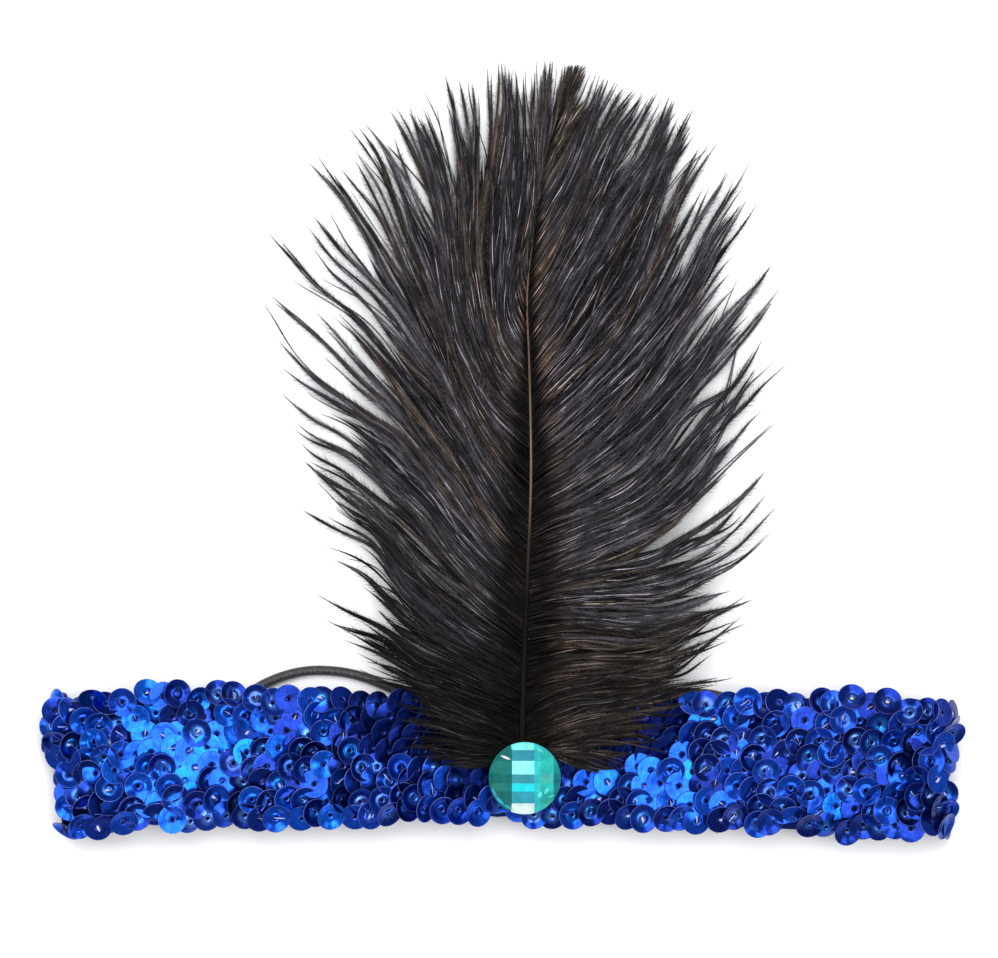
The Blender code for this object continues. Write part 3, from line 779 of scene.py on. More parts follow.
def add_bump(tree, shader, height, strength, distance):
    node = add_node(tree, "ShaderNodeBump", Strength=strength, Distance=distance)
    tree.links.new(height, node.inputs["Height"])
    tree.links.new(node.outputs["Normal"], shader.inputs["Normal"])


def attribute(tree, name):
    return add_node(tree, "ShaderNodeAttribute", attribute_name=name)


def sequin_material():
    """Blue metallic film; a mark of 1 is its paler cut edge."""
    material, tree, shader = new_material("sequin_film", 0.2)
    shader.inputs["Specular IOR Level"].default_value = 0.3
    tint = attribute(tree, "tint").outputs["Color"]
    cloud = mapped(tree, noise(tree, 600.0), 0.75, 1.2)
    brushed = mapped(tree, noise(tree, 2600.0, detail=1.0, stretch=(1.0, 0.12, 1.0)), 0.82, 1.15)
    clouded = scaled_colour(tree, tint, cloud)
    tree.links.new(scaled_colour(tree, clouded, brushed), shader.inputs["Base Color"])
    mark = attribute(tree, "mark").outputs["Fac"]
    tree.links.new(mapped(tree, mark, 0.88, 0.3, 0.0, 1.0), shader.inputs["Metallic"])
    roughness = add_node(tree, "ShaderNodeMath", operation="ADD")
    tree.links.new(mapped(tree, noise(tree, 900.0), 0.14, 0.3), roughness.inputs[0])
    tree.links.new(mapped(tree, mark, 0.0, 0.2, 0.0, 1.0), roughness.inputs[1])
    tree.links.new(roughness.outputs["Value"], shader.inputs["Roughness"])
    add_bump(tree, shader, noise(tree, 700.0, detail=2.0), 0.12, 0.0003)
    return material


def knit_material():
    """Dark blue stretch knit with fine ribs along the strip."""
    material, tree, shader = new_material("stretch_knit", 0.9, Sheen_Weight=0.02, Sheen_Roughness=0.4)
    shader.inputs["Specular IOR Level"].default_value = 0.1
    patches = noise(tree, 160.0)
    patches = colour_between(tree, patches, (0.3, (0.003, 0.008, 0.08)), (0.7, (0.005, 0.014, 0.15)))
    tree.links.new(patches, shader.inputs["Base Color"])
    ribs = add_node(tree, "ShaderNodeTexWave", Scale=320.0, Distortion=1.2, bands_direction="Y")
    ribs.inputs["Detail Scale"].default_value = 3.0
    loops = add_node(tree, "ShaderNodeTexWave", Scale=420.0, Distortion=1.0, bands_direction="X")
    for texture in (ribs, loops):
        tree.links.new(object_place(tree), texture.inputs["Vector"])
    weave = add_node(tree, "ShaderNodeMath", operation="MULTIPLY")
    tree.links.new(ribs.outputs["Fac"], weave.inputs[0])
    tree.links.new(loops.outputs["Fac"], weave.inputs[1])
    add_bump(tree, shader, weave.outputs["Value"], 0.7, 0.0004)
    return material


def thread_material():
    material, tree, shader = new_material("pale_thread", 0.25, Metallic=0.1, Coat_Weight=0.5)
    colours = colour_between(tree, noise(tree, 300.0), (0.3, (0.2, 0.32, 0.8)), (0.7, (0.6, 0.55, 0.8)))
    tree.links.new(colours, shader.inputs["Base Color"])
    return material


def barb_material():
    """Dyed barbs, black-violet and black-brown by turns, with fine lines combed along each."""
    material, tree, shader = new_material("plume_barb", 0.6)
    shader.inputs["Specular IOR Level"].default_value = 0.06
    # The tint holds painted highlights along the ridges and painted shade beside the shaft.
    tint = attribute(tree, "tint").outputs["Color"]
    combing = add_node(tree, "ShaderNodeMapping", Scale=(0.13, 4.6, 9.0))
    tree.links.new(attribute(tree, "flow").outputs["Vector"], combing.inputs["Vector"])
    lines = add_node(tree, "ShaderNodeTexNoise", Scale=1.0, Detail=2.0)
    tree.links.new(combing.outputs["Vector"], lines.inputs["Vector"])
    combed = mapped(tree, lines.outputs["Fac"], 0.2, 2.1, 0.36, 0.66)
    streaks = mapped(tree, noise(tree, 260.0), 0.75, 1.3)
    grain = mapped(tree, noise(tree, 2600.0, detail=2.0), 0.65, 1.4)
    colours = scaled_colour(tree, scaled_colour(tree, tint, streaks), grain)
    tree.links.new(scaled_colour(tree, colours, combed), shader.inputs["Base Color"])
    tree.links.new(mapped(tree, noise(tree, 420.0), 0.45, 0.7), shader.inputs["Roughness"])
    return material


def quill_material():
    """Dark brown at the base, with a pale tan ridge from about a third of the way up; by the way each point
    faces, the top keeps a painted highlight and the sides get painted shade.
    """
    material, tree, shader = new_material("plume_shaft", 0.5)
    shader.inputs["Specular IOR Level"].default_value = 0.05
    place = add_node(tree, "ShaderNodeSeparateXYZ")
    tree.links.new(object_place(tree), place.inputs["Vector"])
    along = mapped(tree, place.outputs["Y"], 0.0, 1.0, -0.07, 0.08)
    colours = colour_between(
        tree,
        along,
        (0.0, (0.008, 0.006, 0.005)),
        (0.25, (0.012, 0.008, 0.007)),
        (0.34, (0.06, 0.04, 0.03)),
        (0.45, (0.28, 0.2, 0.15)),
        (0.7, (0.2, 0.14, 0.1)),
        (0.85, (0.05, 0.037, 0.03)),
    )
    facing = add_node(tree, "ShaderNodeSeparateXYZ")
    tree.links.new(add_node(tree, "ShaderNodeTexCoord").outputs["Normal"], facing.inputs["Vector"])
    # Painted highlight on the up-facing top, painted shade on the sides
    ridge = mapped(tree, facing.outputs["Z"], 0.06, 1.0, 0.86, 0.97)
    streaks = mapped(tree, noise(tree, 900.0, stretch=(1.0, 0.06, 1.0)), 0.75, 1.2)
    painted_top_light = scaled_colour(tree, colours, ridge)
    tree.links.new(scaled_colour(tree, painted_top_light, streaks), shader.inputs["Base Color"])
    add_bump(tree, shader, noise(tree, 1400.0, stretch=(1.0, 0.05, 1.0)), 0.3, 0.0002)
    return material


def oval(tree, glint):
    """A soft-edged oval mask over the piece's own X and Y."""
    mapping = add_node(tree, "ShaderNodeMapping", vector_type="TEXTURE")
    mapping.inputs["Location"].default_value = (glint.x * MM, glint.y * MM, 0.0)
    mapping.inputs["Rotation"].default_value = (0.0, 0.0, math.radians(glint.turn))
    mapping.inputs["Scale"].default_value = (glint.long * MM, glint.wide * MM, 1000.0)
    tree.links.new(object_place(tree), mapping.inputs["Vector"])
    distance = add_node(tree, "ShaderNodeVectorMath", operation="LENGTH")
    tree.links.new(mapping.outputs["Vector"], distance.inputs["Vector"])
    return mapped(tree, distance.outputs["Value"], 1.0, 0.0, glint.soft, 1.0)


def stone_material():
    """Foil-backed acrylic: each facet's tint is a painted reflection of the foil, crossed by painted glints.
    """
    material, tree, shader = new_material("teal_acrylic", 0.08)
    shader.inputs["Specular IOR Level"].default_value = 0.12
    tint = attribute(tree, "tint").outputs["Color"]
    depth = mapped(tree, noise(tree, 420.0, detail=1.0), 0.84, 1.14)
    colours = scaled_colour(tree, tint, depth)
    for glint in STONE_PAINTED_GLINTS:
        mixed = add_node(tree, "ShaderNodeMix", data_type="RGBA")
        tree.links.new(oval(tree, glint), mixed.inputs["Factor"])
        tree.links.new(colours, mixed.inputs["A"])
        mixed.inputs["B"].default_value = (glint.red, glint.green, glint.blue, 1.0)
        colours = mixed.outputs["Result"]
    tree.links.new(colours, shader.inputs["Base Color"])
    return material


def elastic_material():
    """Black elastic under a fine slanting braid."""
    material, tree, shader = new_material("braided_elastic", 0.5, Sheen_Weight=0.5, Sheen_Roughness=0.35)
    cloud = noise(tree, 600.0)
    colours = colour_between(tree, cloud, (0.3, (0.014, 0.014, 0.016)), (0.7, (0.032, 0.031, 0.035)))
    tree.links.new(colours, shader.inputs["Base Color"])
    braids = []
    for direction in ("X", "DIAGONAL"):
        braid = add_node(tree, "ShaderNodeTexWave", Scale=520.0, Distortion=0.6, bands_direction=direction)
        tree.links.new(object_place(tree), braid.inputs["Vector"])
        braids.append(braid.outputs["Fac"])
    crossing = add_node(tree, "ShaderNodeMath", operation="MULTIPLY")
    tree.links.new(braids[0], crossing.inputs[0])
    tree.links.new(braids[1], crossing.inputs[1])
    add_bump(tree, shader, crossing.outputs["Value"], 0.35, 0.0002)
    return material


def floor_material():
    material, tree, shader = new_material("white_surface", 0.7)
    cloud = mapped(tree, noise(tree, 4.0), 0.93, 0.95)
    tree.links.new(cloud, shader.inputs["Base Color"])
    return material


# Stage


def add_light(light):
    data = bpy.data.lights.new(light.name, "AREA")
    data.shape = "RECTANGLE"
    data.size, data.size_y = light.size
    data.energy = light.radiance * math.pi * light.size[0] * light.size[1]
    lamp = bpy.data.objects.new(light.name, data)
    lamp.location = light.place
    lamp.rotation_euler = Vector(light.place).to_track_quat("Z", "Y").to_euler()
    bpy.context.scene.collection.objects.link(lamp)


def make_camera():
    camera_data = bpy.data.cameras.new("camera")
    camera_data.lens = CAMERA_LENS
    camera_data.sensor_fit = "HORIZONTAL"
    camera_data.sensor_width = VIEW_WIDTH * CAMERA_LENS / (CAMERA_HEIGHT - SHARP_HEIGHT)
    camera = bpy.data.objects.new("camera", camera_data)
    camera.location = (VIEW_X * MM, VIEW_Y * MM, CAMERA_HEIGHT * MM)
    bpy.context.scene.collection.objects.link(camera)
    bpy.context.scene.camera = camera


def make_floor():
    half = FLOOR_HALF
    corners = [(-half, -half, 0), (half, -half, 0), (half, half, 0), (-half, half, 0)]
    mesh = bpy.data.meshes.new("floor")
    mesh.from_pydata(corners, [], [(0, 1, 2, 3)])
    mesh.materials.append(floor_material())
    floor = bpy.data.objects.new("floor", mesh)
    bpy.context.scene.collection.objects.link(floor)


def make_sky():
    world = bpy.data.worlds.new("studio")
    world.use_nodes = True
    background = world.node_tree.nodes["Background"]
    background.inputs["Color"].default_value = (*SKY_COLOUR, 1.0)
    background.inputs["Strength"].default_value = SKY_STRENGTH
    bpy.context.scene.world = world


def make_stage():
    make_camera()
    make_floor()
    make_sky()
    bpy.context.scene.view_settings.view_transform = "Standard"
    for light in STUDIO_LIGHTS:
        add_light(light)


# Cord and its tabs


def make_cord():
    route = np.array(CORD_ROUTE)
    steps = np.linalg.norm(np.diff(route, axis=0), axis=1)
    places = np.concatenate([[0.0], np.cumsum(steps)])
    rows = np.column_stack([places, route])
    line = read_rows(rows, np.linspace(0.0, places[-1], CORD_STEPS))[:, 1:]
    points = np.column_stack([line, np.full(len(line), CORD_Z)])
    arrays, quads = tube_arrays(points, CORD_DIAMETER / 2, CORD_SIDES)
    caps = end_caps(len(arrays), CORD_SIDES)
    cord = make_object("elastic_cord_braided", arrays, [quads, caps], elastic_material())
    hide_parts("elastic_cord")


def make_tab(name, node, material):
    """A folded end of ribbon: a soft block whose faces bulge and whose sides draw in."""
    low, high = (np.array(corner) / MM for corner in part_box(node))
    middle, half = (low + high) / 2, (high - low) / 2
    u = np.linspace(-1, 1, TAB_ACROSS)
    angle = np.pi * (np.arange(2 * TAB_UP) + 0.5) / TAB_UP
    ring = np.stack([np.cos(angle), np.sin(angle)], axis=1)
    ring = np.sign(ring) * np.abs(ring) ** TAB_ROUNDING
    drawn = 1.0 - TAB_DRAWN_IN * (1 - u**2)
    thin = 1.0 - TAB_THINNED * u**4
    y = ring[None, :, 0] * drawn[:, None] * half[1]
    z = ring[None, :, 1] * thin[:, None] * half[2]
    x = np.broadcast_to(u[:, None] * half[0], y.shape)
    points = np.stack([x, y, z], axis=-1).reshape(-1, 3) + middle
    faces = [ring_faces(TAB_ACROSS, 2 * TAB_UP), end_caps(len(points), 2 * TAB_UP)]
    tab = make_object(name, points, faces, material)
    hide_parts(node)


# Band


def strip_place(along):
    """Points of the strip's middle line and its outward normals, both in X and Z, at distances along it."""
    along = np.asarray(along, float)
    side = np.where(along < 0, -1.0, 1.0)
    distance = np.abs(along)
    turn = np.clip((distance - FOLD_X) / FOLD_RADIUS, 0.0, math.pi)
    straight = np.minimum(distance, FOLD_X)
    past = np.maximum(distance - FOLD_X - FOLD_TURN, 0.0)
    x = side * (straight + FOLD_RADIUS * np.sin(turn) - past)
    z = TAIL_Z + FOLD_RADIUS + FOLD_RADIUS * np.cos(turn)
    return np.stack([x, z], axis=-1), np.stack([side * np.sin(turn), np.cos(turn)], axis=-1)


def strip_point(along, y, out):
    """Points on the strip: along it, across it and out of its middle."""
    lift = read_rows(BAND_ROWS, along)[..., 3]
    place, normal = strip_place(along)
    place = place + normal * (out + lift)[..., None]
    x = place[..., 0]
    for end in DRAWN_ENDS:
        drawn = end.top + end.corner * smooth_step(0.0, 1.0, (end.below - y) / end.over)
        x = x - end.side * drawn * smooth_step(end.inner, end.outer, end.side * place[..., 0])
    return np.stack([x, y, place[..., 1]], axis=-1)


def make_knit(material):
    """The stretch backing, a thin strip inside the band's wall, narrower than its sequins reach."""
    along = np.linspace(-HALF_STRIP, HALF_STRIP, KNIT_STATIONS)
    share = np.linspace(0.0, 1.0, KNIT_LINES)
    rows = read_rows(BAND_ROWS, along)
    lower, upper = rows[:, 1] + KNIT_INSET, rows[:, 2] - KNIT_INSET
    y = lower[:, None] + (upper - lower)[:, None] * share[None, :]
    grid = np.broadcast_to(along[:, None], y.shape)
    ripple = 0.08 * np.sin(grid * 1.9 + 2.0 * np.sin(y * 0.7)) + 0.05 * np.sin(y * 2.6 + grid * 0.6)
    inner = strip_point(grid, y, np.full(y.shape, -BAND_WALL / 2))
    outer = strip_point(grid, y, -BAND_WALL / 2 + KNIT_WALL + ripple)
    rings = np.concatenate([inner, outer[:, ::-1]], axis=1)
    sides = rings.shape[1]
    points = rings.reshape(-1, 3)
    faces = [ring_faces(len(along), sides)[:, ::-1], end_caps(len(points), sides)[:, ::-1]]
    knit = make_object("stretch_knit", points, faces, material)
    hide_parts("sequin_band")


def sequin_template():
    """A row for each ring: radius, height as a share of the cup's depth, side of the film and edge mark."""
    SequinRing = namedtuple("SequinRing", "radius rise side mark")
    edge = SEQUIN_RADIUS - SEQUIN_EDGE

    def rise(radius):
        return max(radius - SEQUIN_FLAT, 0.0) / (SEQUIN_RADIUS - SEQUIN_FLAT)

    return np.array([
        SequinRing(SEQUIN_HOLE, 0.0, 0.5, 0.3),
        SequinRing(SEQUIN_FLAT, 0.0, 0.5, 0.0),
        SequinRing(SEQUIN_MIDDLE, rise(SEQUIN_MIDDLE), 0.5, 0.0),
        SequinRing(edge, rise(edge), 0.5, 0.0),
        SequinRing(SEQUIN_RADIUS, rise(SEQUIN_RADIUS), 0.35, 1.0),
        SequinRing(SEQUIN_RADIUS, rise(SEQUIN_RADIUS), -0.5, 1.0),
        SequinRing(SEQUIN_MIDDLE, rise(SEQUIN_MIDDLE), -0.5, 0.0),
        SequinRing(SEQUIN_HOLE, 0.0, -0.5, 0.0),
    ])


def sequin_places():
    """Places along the band and across it, and the rows, of all sequins."""
    count = int(2 * HALF_STRIP / SEQUIN_PITCH)
    along, line = np.meshgrid(np.arange(count), np.arange(SEQUIN_ROWS), indexing="ij")
    stagger = np.where(line % 2 == 0, 0.0, 0.5)
    along = -HALF_STRIP + SEQUIN_PITCH / 2 + (along + stagger) * SEQUIN_PITCH
    along = (along + random.uniform(*SEQUIN_SHIFTS_ALONG, along.shape)).ravel()
    line = line.ravel()
    rows = read_rows(BAND_ROWS, along)
    lower, upper = rows[:, 1] + SEQUIN_MARGIN, rows[:, 2] - SEQUIN_MARGIN
    y = lower + (upper - lower) * line / (SEQUIN_ROWS - 1)
    y = y + random.uniform(*SEQUIN_SHIFTS_ACROSS, along.shape)
    y = y + np.where(line == 0, random.uniform(*LOWEST_ROW_SHIFTS, along.shape), 0.0)
    return along, y, line


def row_leans(along, lowest, highest):
    """Leans along the band and across it by row, looser near the folds."""
    size = len(along)
    turned = 1.0 + TURNED_SPREAD * smooth_step(FOLD_X - TURNED_LENGTH, FOLD_X, np.abs(along))
    lean_along = SEQUIN_LEAN_ALONG + random.normal(0.0, SEQUIN_SPREAD_ALONG, size) * turned
    lean_across = SEQUIN_LEAN_ACROSS + random.normal(0.0, SEQUIN_SPREAD_ACROSS, size) * turned
    lean_across = lean_across - np.where(lowest, random.uniform(*LOWEST_ROW_LEANS, size), 0.0)
    lean_across = lean_across + np.where(highest, random.uniform(*HIGHEST_ROW_LEANS, size), 0.0)
    return lean_along, lean_across


def flat_shares(along, y, outer):
    """How far each sequin lies flat, from 0 to 1; those of the outer rows don't."""
    flat = np.zeros(len(along))
    for patch in FLAT_PATCHES:
        distance = np.hypot(along - patch.x, y - patch.y)
        inner, outside = (edge * patch.radius for edge in FLAT_EDGE)
        flat = np.maximum(flat, 1.0 - smooth_step(inner, outside, distance))
    return flat * (random.random(len(along)) < FLAT_SHARE) * (1 - outer)


def sequin_shades(along, flat, cupped, covered):
    """Places on the scale of tints, which paints light on flat sequins and shade under the plume, and shares
    of painted highlight in the middles of cups.
    """
    size = len(along)
    shade = random.random(size) ** SHADE_POWER
    flat_shade = FLAT_LEAST_SHADE + (1.0 - FLAT_LEAST_SHADE) * random.random(size)
    shade = np.where(flat > 0.5, flat_shade, np.minimum(shade, MOST_CURVED_SHADE))
    # Here deep paints shade on covered sequins and in the shadowed zone, and only darkens the tints on the
    # right.
    deep = np.where(covered, COVERED_SHADE, np.where(between(along, SHADOWED_ZONE), SHADOWED_SHADE, 1.0))
    for x in RIGHT_ZONES_X:
        deep = np.where((along > x) & (flat < 0.5), RIGHT_SHADE * deep, deep)
    shade = shade * deep
    highlighted = cupped & (shade < MOST_HIGHLIGHTED_SHADE)
    return shade, np.where(highlighted, random.uniform(0.0, 1.0, size) ** CUP_HIGHLIGHT_POWER, 0.0) * deep


def sequin_layout():
    """Places, heights, leans, cups and shades of all sequins."""
    along, y, line = sequin_places()
    size = len(along)
    lowest, highest = line == 0, line == SEQUIN_ROWS - 1
    uneven = random.uniform(*SEQUIN_HEIGHTS, size)
    lean_along, lean_across = row_leans(along, lowest, highest)
    flat = flat_shares(along, y, lowest | highest)
    out = BAND_WALL / 2 - SEQUIN_SUNK + uneven * (1 - FLAT_EVENNESS * flat)
    lean_along = lean_along * (1 - flat) + flat * random.normal(FLAT_LEAN_ALONG, FLAT_SPREAD, size)
    lean_across = lean_across * (1 - flat) + flat * random.normal(FLAT_LEAN_ACROSS, FLAT_SPREAD, size)
    cupped = random.random(size) < CUP_SHARE * (1 - flat)
    depth = np.where(cupped, random.uniform(*CUP_DEPTHS, size), random.uniform(*DISC_DEPTHS, size))
    depth = depth * np.where(random.random(size) < FACE_UP_SHARE, 1.0, -1.0)
    on_edge = between(along, ON_EDGE_ZONE) & (random.random(size) < ON_EDGE_SHARE)
    lean_along = np.where(on_edge, random.uniform(*ON_EDGE_LEANS, size), lean_along)

    covered = between(along, COVERED_ZONE) & (y > COVERED_Y + COVERED_RISE * np.abs(along - COVERED_MIDDLE))
    out = np.where(covered, BAND_WALL / 2 - COVERED_SUNK, out)
    depth = np.where(covered, COVERED_DEPTH * depth, depth)
    low_along = COVERED_LEAN_ALONG + COVERED_SPREAD * (lean_along - SEQUIN_LEAN_ALONG)
    low_across = COVERED_LEAN_ACROSS + COVERED_SPREAD * (lean_across - SEQUIN_LEAN_ACROSS)
    lean_along = np.where(covered, low_along, lean_along)
    lean_across = np.where(covered, low_across, lean_across)
    shade, glow = sequin_shades(along, flat, cupped, covered)

    turn = (np.abs(along) - FOLD_X) / FOLD_RADIUS
    at_fold = smooth_step(*FOLD_LEAN_FROM, turn) * (1.0 - smooth_step(*FOLD_LEAN_TO, turn))
    lean_along = lean_along - np.sign(along) * SEQUIN_FOLD_LEAN * at_fold
    out = out - SEQUIN_FOLD_SUNK * at_fold
    high_up = highest & (random.random(size) < HIGH_UP_SHARE)
    y = y + np.where(high_up, random.uniform(*HIGH_UP_SHIFTS, size), 0.0)
    return SequinLayout(along, y, out, lean_along, lean_across, depth, shade, glow, covered)


def sequin_points(layout, rings):
    """Points of the laid out sequins, by sequin, ring and side."""
    _, normal_xz = strip_place(layout.along)
    zero = np.zeros(len(layout.along))
    normal = np.stack([normal_xz[:, 0], zero, normal_xz[:, 1]], axis=-1)
    tangent = np.stack([normal_xz[:, 1], zero, -normal_xz[:, 0]], axis=-1)
    up = np.array([0.0, 1.0, 0.0])
    face = unit(normal + tangent * layout.lean_along[:, None] + up * layout.lean_across[:, None])
    first = unit(np.cross(face, up))
    second = np.cross(face, first)
    angle = 2 * np.pi * np.arange(SEQUIN_SIDES) / SEQUIN_SIDES
    spoke = np.cos(angle)[None, :, None] * first[:, None] + np.sin(angle)[None, :, None] * second[:, None]
    height = rings[None, :, 1] * layout.depth[:, None] + rings[None, :, 2] * SEQUIN_FILM
    centre = strip_point(layout.along, layout.y, layout.out)
    points = (
        centre[:, None, None]
        + spoke[:, None] * rings[None, :, 0, None, None]
        + face[:, None, None] * height[:, :, None, None]
    )
    lowest = SEQUIN_CLEARANCE + SEQUIN_FILM * (rings[None, :, 2, None] + 0.5)
    points[..., 2] = np.maximum(points[..., 2], lowest)
    return points


def sequin_tints(layout, rings):
    """Tints by sequin, ring and side: the film's, the painted highlights in the middles of cups and the cut
    rims.
    """
    count = len(layout.along)
    table = np.array(SEQUIN_TINTS_WITH_PAINTED_LIGHT)
    channels = [np.interp(layout.shade, table[:, 0], table[:, channel]) for channel in (1, 2, 3)]
    body = np.stack(channels, axis=1)
    centre_share = layout.glow[:, None] * (rings[None, :, 0] <= SEQUIN_FLAT)
    paleness = random.uniform(0.0, 1.0, count)[:, None] ** PALE_HIGHLIGHT_POWER
    middle = np.array(CUP_HIGHLIGHT) + (np.array(CUP_PALE_HIGHLIGHT) - np.array(CUP_HIGHLIGHT)) * paleness
    body = body[:, None] + (middle[:, None] - body[:, None]) * centre_share[..., None]
    rim = np.array(RIM_TINT) * random.uniform(*RIM_SHARES, count)[:, None]
    rim = rim * np.where(layout.covered, COVERED_RIM_SHADE, 1.0)[:, None]
    mark = rings[None, :, 3, None, None]
    tint = body[:, :, None] * (1 - mark) + rim[:, None, None] * mark
    return np.broadcast_to(tint, (count, len(rings), SEQUIN_SIDES, 3))


def make_sequins(material, thread):
    layout = sequin_layout()
    rings = sequin_template()
    points = sequin_points(layout, rings)
    tint = sequin_tints(layout, rings)
    mark = np.broadcast_to(rings[None, :, 3, None], points.shape[:3])
    faces = ring_faces(len(rings), SEQUIN_SIDES, closed=True)
    bounds = (-math.inf, -FOLD_X, 0.0, FOLD_X, math.inf)
    names = ("sequins_left_end", "sequins_front_left", "sequins_front_right", "sequins_right_end")
    for name, low, high in zip(names, bounds, bounds[1:]):
        chosen = np.flatnonzero((layout.along >= low) & (layout.along < high))
        make_object(
            name,
            points[chosen].reshape(-1, 3),
            [repeated(faces, len(chosen), len(rings) * SEQUIN_SIDES)],
            material,
            tint=tint[chosen].reshape(-1, 3),
            marks=mark[chosen].reshape(-1),
        )
    make_threads(points[~layout.covered], thread)


def make_threads(points, material):
    """A stitch on some of the sequins: it comes up before the hole and goes down on the way to the rim."""
    stitched = np.flatnonzero(random.random(len(points)) < STITCHED_SHARE)
    count = len(stitched)
    points = points[stitched]
    hole = points[:, HOLE_RING].mean(axis=1)
    pick = random.integers(0, SEQUIN_SIDES, count)
    row = np.arange(count)
    inner, flat_end, rim = (points[row, ring, pick] for ring in (HOLE_RING, FLAT_RING, EDGE_RING))
    spokes = points[:, FLAT_RING] - hole[:, None]
    face = unit(np.cross(spokes[:, 0], spokes[:, SEQUIN_SIDES // 4]))
    outwards = (face * (points[:, HOLE_RING, 0] - points[:, BACK_RING, 0])).sum(axis=1)
    face = face * np.where(outwards < 0, -1.0, 1.0)[:, None]
    direction = unit(flat_end - inner)
    thick = random.random(count) < THICK_STITCH_SHARE
    reach = np.where(thick, THICK_STITCH_REACH, random.uniform(*THIN_STITCH_REACHES, count))[:, None]
    slope = unit(rim - flat_end)
    end = hole + direction * SEQUIN_FLAT + slope * np.maximum(reach - SEQUIN_FLAT, 0.0)
    start = hole - direction * STITCH_BEFORE
    middle = hole + direction * 0.5 * reach + face * STITCH_TOP
    line = [
        start - face * STITCH_UNDER,
        hole + face * STITCH_OVER_HOLE,
        middle,
        end + face * STITCH_END,
        end - face * STITCH_END,
    ]
    line = np.stack(line, axis=1)
    across = unit(np.cross(direction, face))
    radius = np.where(thick, THICK_STITCH_RADIUS, random.uniform(*THIN_STITCH_RADII, count))
    angle = 2 * np.pi * np.arange(STITCH_SIDES) / STITCH_SIDES
    spoke = np.cos(angle)[None, :, None] * across[:, None] + np.sin(angle)[None, :, None] * face[:, None]
    tubes = line[:, :, None] + spoke[:, None] * radius[:, None, None, None]
    tubes[..., 2] = np.maximum(tubes[..., 2], STITCH_CLEARANCE)
    size = tubes.shape[1] * STITCH_SIDES
    faces = repeated(ring_faces(tubes.shape[1], STITCH_SIDES), count, size)
    caps = repeated(end_caps(size, STITCH_SIDES), count, size)
    make_object("sequin_stitches", tubes.reshape(-1, 3), [faces, caps], material)


# Plume


def group_ids(count, smallest, largest):
    """The group that each of so many things in a row is in."""
    sizes = random.integers(smallest, largest + 1, count)
    return np.repeat(np.arange(count), sizes)[:count]


def group_mean(curves, ids):
    """The mean curve of its group, for each curve."""
    total = np.zeros((ids.max() + 1, *curves.shape[1:]))
    np.add.at(total, ids, curves)
    members = np.bincount(ids).astype(float)
    return (total / members[:, None, None])[ids]


def by_group(ids, draw):
    """What is drawn once for each group, for each of its members."""
    return draw(ids.max() + 1)[ids]


def guide_curves(guides, roots):
    """Flat curves, in X and Y, of barbs rooted on the shaft, each between its two nearest guides."""
    share = np.linspace(0.0, 1.0, CURVE_STEPS)
    known = []
    for guide in guides:
        shaft = read_rows(PLUME_ROWS, guide.root_y)
        corners = np.array([(shaft[1], guide.root_y), *guide.route])
        places = np.concatenate([[0.0], np.cumsum(np.linalg.norm(np.diff(corners, axis=0), axis=1))])
        known.append(read_rows(np.column_stack([places, corners]), share * places[-1])[:, 1:])
    known = np.array(known)
    at = np.array([guide.root_y for guide in guides])
    index = np.clip(np.searchsorted(at, roots) - 1, 0, len(at) - 2)
    t = ((roots - at[index]) / (at[index + 1] - at[index]))[:, None, None]
    return known[index] * (1 - t) + known[index + 1] * t


def cut_curves(curves, share):
    """Curves ended at a share of their length, with as many points as before."""
    place = share[:, None] * np.arange(CURVE_STEPS)[None, :]
    index = np.minimum(place.astype(int), CURVE_STEPS - 2)  # a share over 1 carries the last step on
    t = (place - index)[..., None]
    row = np.arange(len(curves))[:, None]
    return curves[row, index] * (1 - t) + curves[row, index + 1] * t


def waves(ids, t, wave):
    """Waves across the barbs along their lengths t, one for each group of barbs."""
    turns = by_group(ids, lambda n: random.uniform(wave.slowest, wave.fastest, n))[:, None]
    phase = by_group(ids, lambda n: random.uniform(0.0, 6.3, n))[:, None]
    return by_group(ids, lambda n: random.normal(0.0, wave.height, n))[:, None] * np.sin(t * turns + phase)


def swung_curves(flat, size, t, strand, clump, layer):
    """Curves that swing and ripple by clumps, strands and single barbs, and meet in pointed strands."""
    count = len(flat)
    chord = unit(flat[:, -1] - flat[:, 0])
    across = np.stack([-chord[:, 1], chord[:, 0]], axis=1)[:, None]
    clump_swing = by_group(clump, lambda n: random.normal(0.0, CLUMP_SWING, n))[:, None]
    strand_swing = by_group(strand, lambda n: random.normal(0.0, STRAND_SWING, n))[:, None]
    swing = clump_swing * smooth_step(0.35, 1.0, t) ** 1.4
    swing = swing + strand_swing * smooth_step(0.5, 1.0, t) ** 1.3
    swing = swing + random.normal(0.0, SINGLE_SWING, count)[:, None] * smooth_step(0.15, 0.7, t)
    ripple = waves(clump, t, CLUMP_WAVE) + waves(strand, t, STRAND_WAVE)
    ripple = (ripple + waves(np.arange(count), t, SINGLE_WAVE)) * smooth_step(0.03, 0.4, t)
    flat = flat + across * ((swing + ripple) * layer.spread * size)[..., None]

    strand_pull = 0.3 * smooth_step(0.05, 0.3, t) + 0.5 * smooth_step(0.4, 0.8, t)
    flat = flat + (group_mean(flat, strand) - flat) * strand_pull[..., None]
    gather = by_group(clump, lambda n: random.uniform(*CLUMP_GATHERS, n))[:, None]
    flat = flat + (group_mean(flat, clump) - flat) * (gather * smooth_step(0.45, 0.9, t))[..., None]
    split = random.normal(0.0, TIP_SPLIT, count)
    return flat + across * (split[:, None] * smooth_step(0.72, 1.0, t) ** 1.6 * size)[..., None]


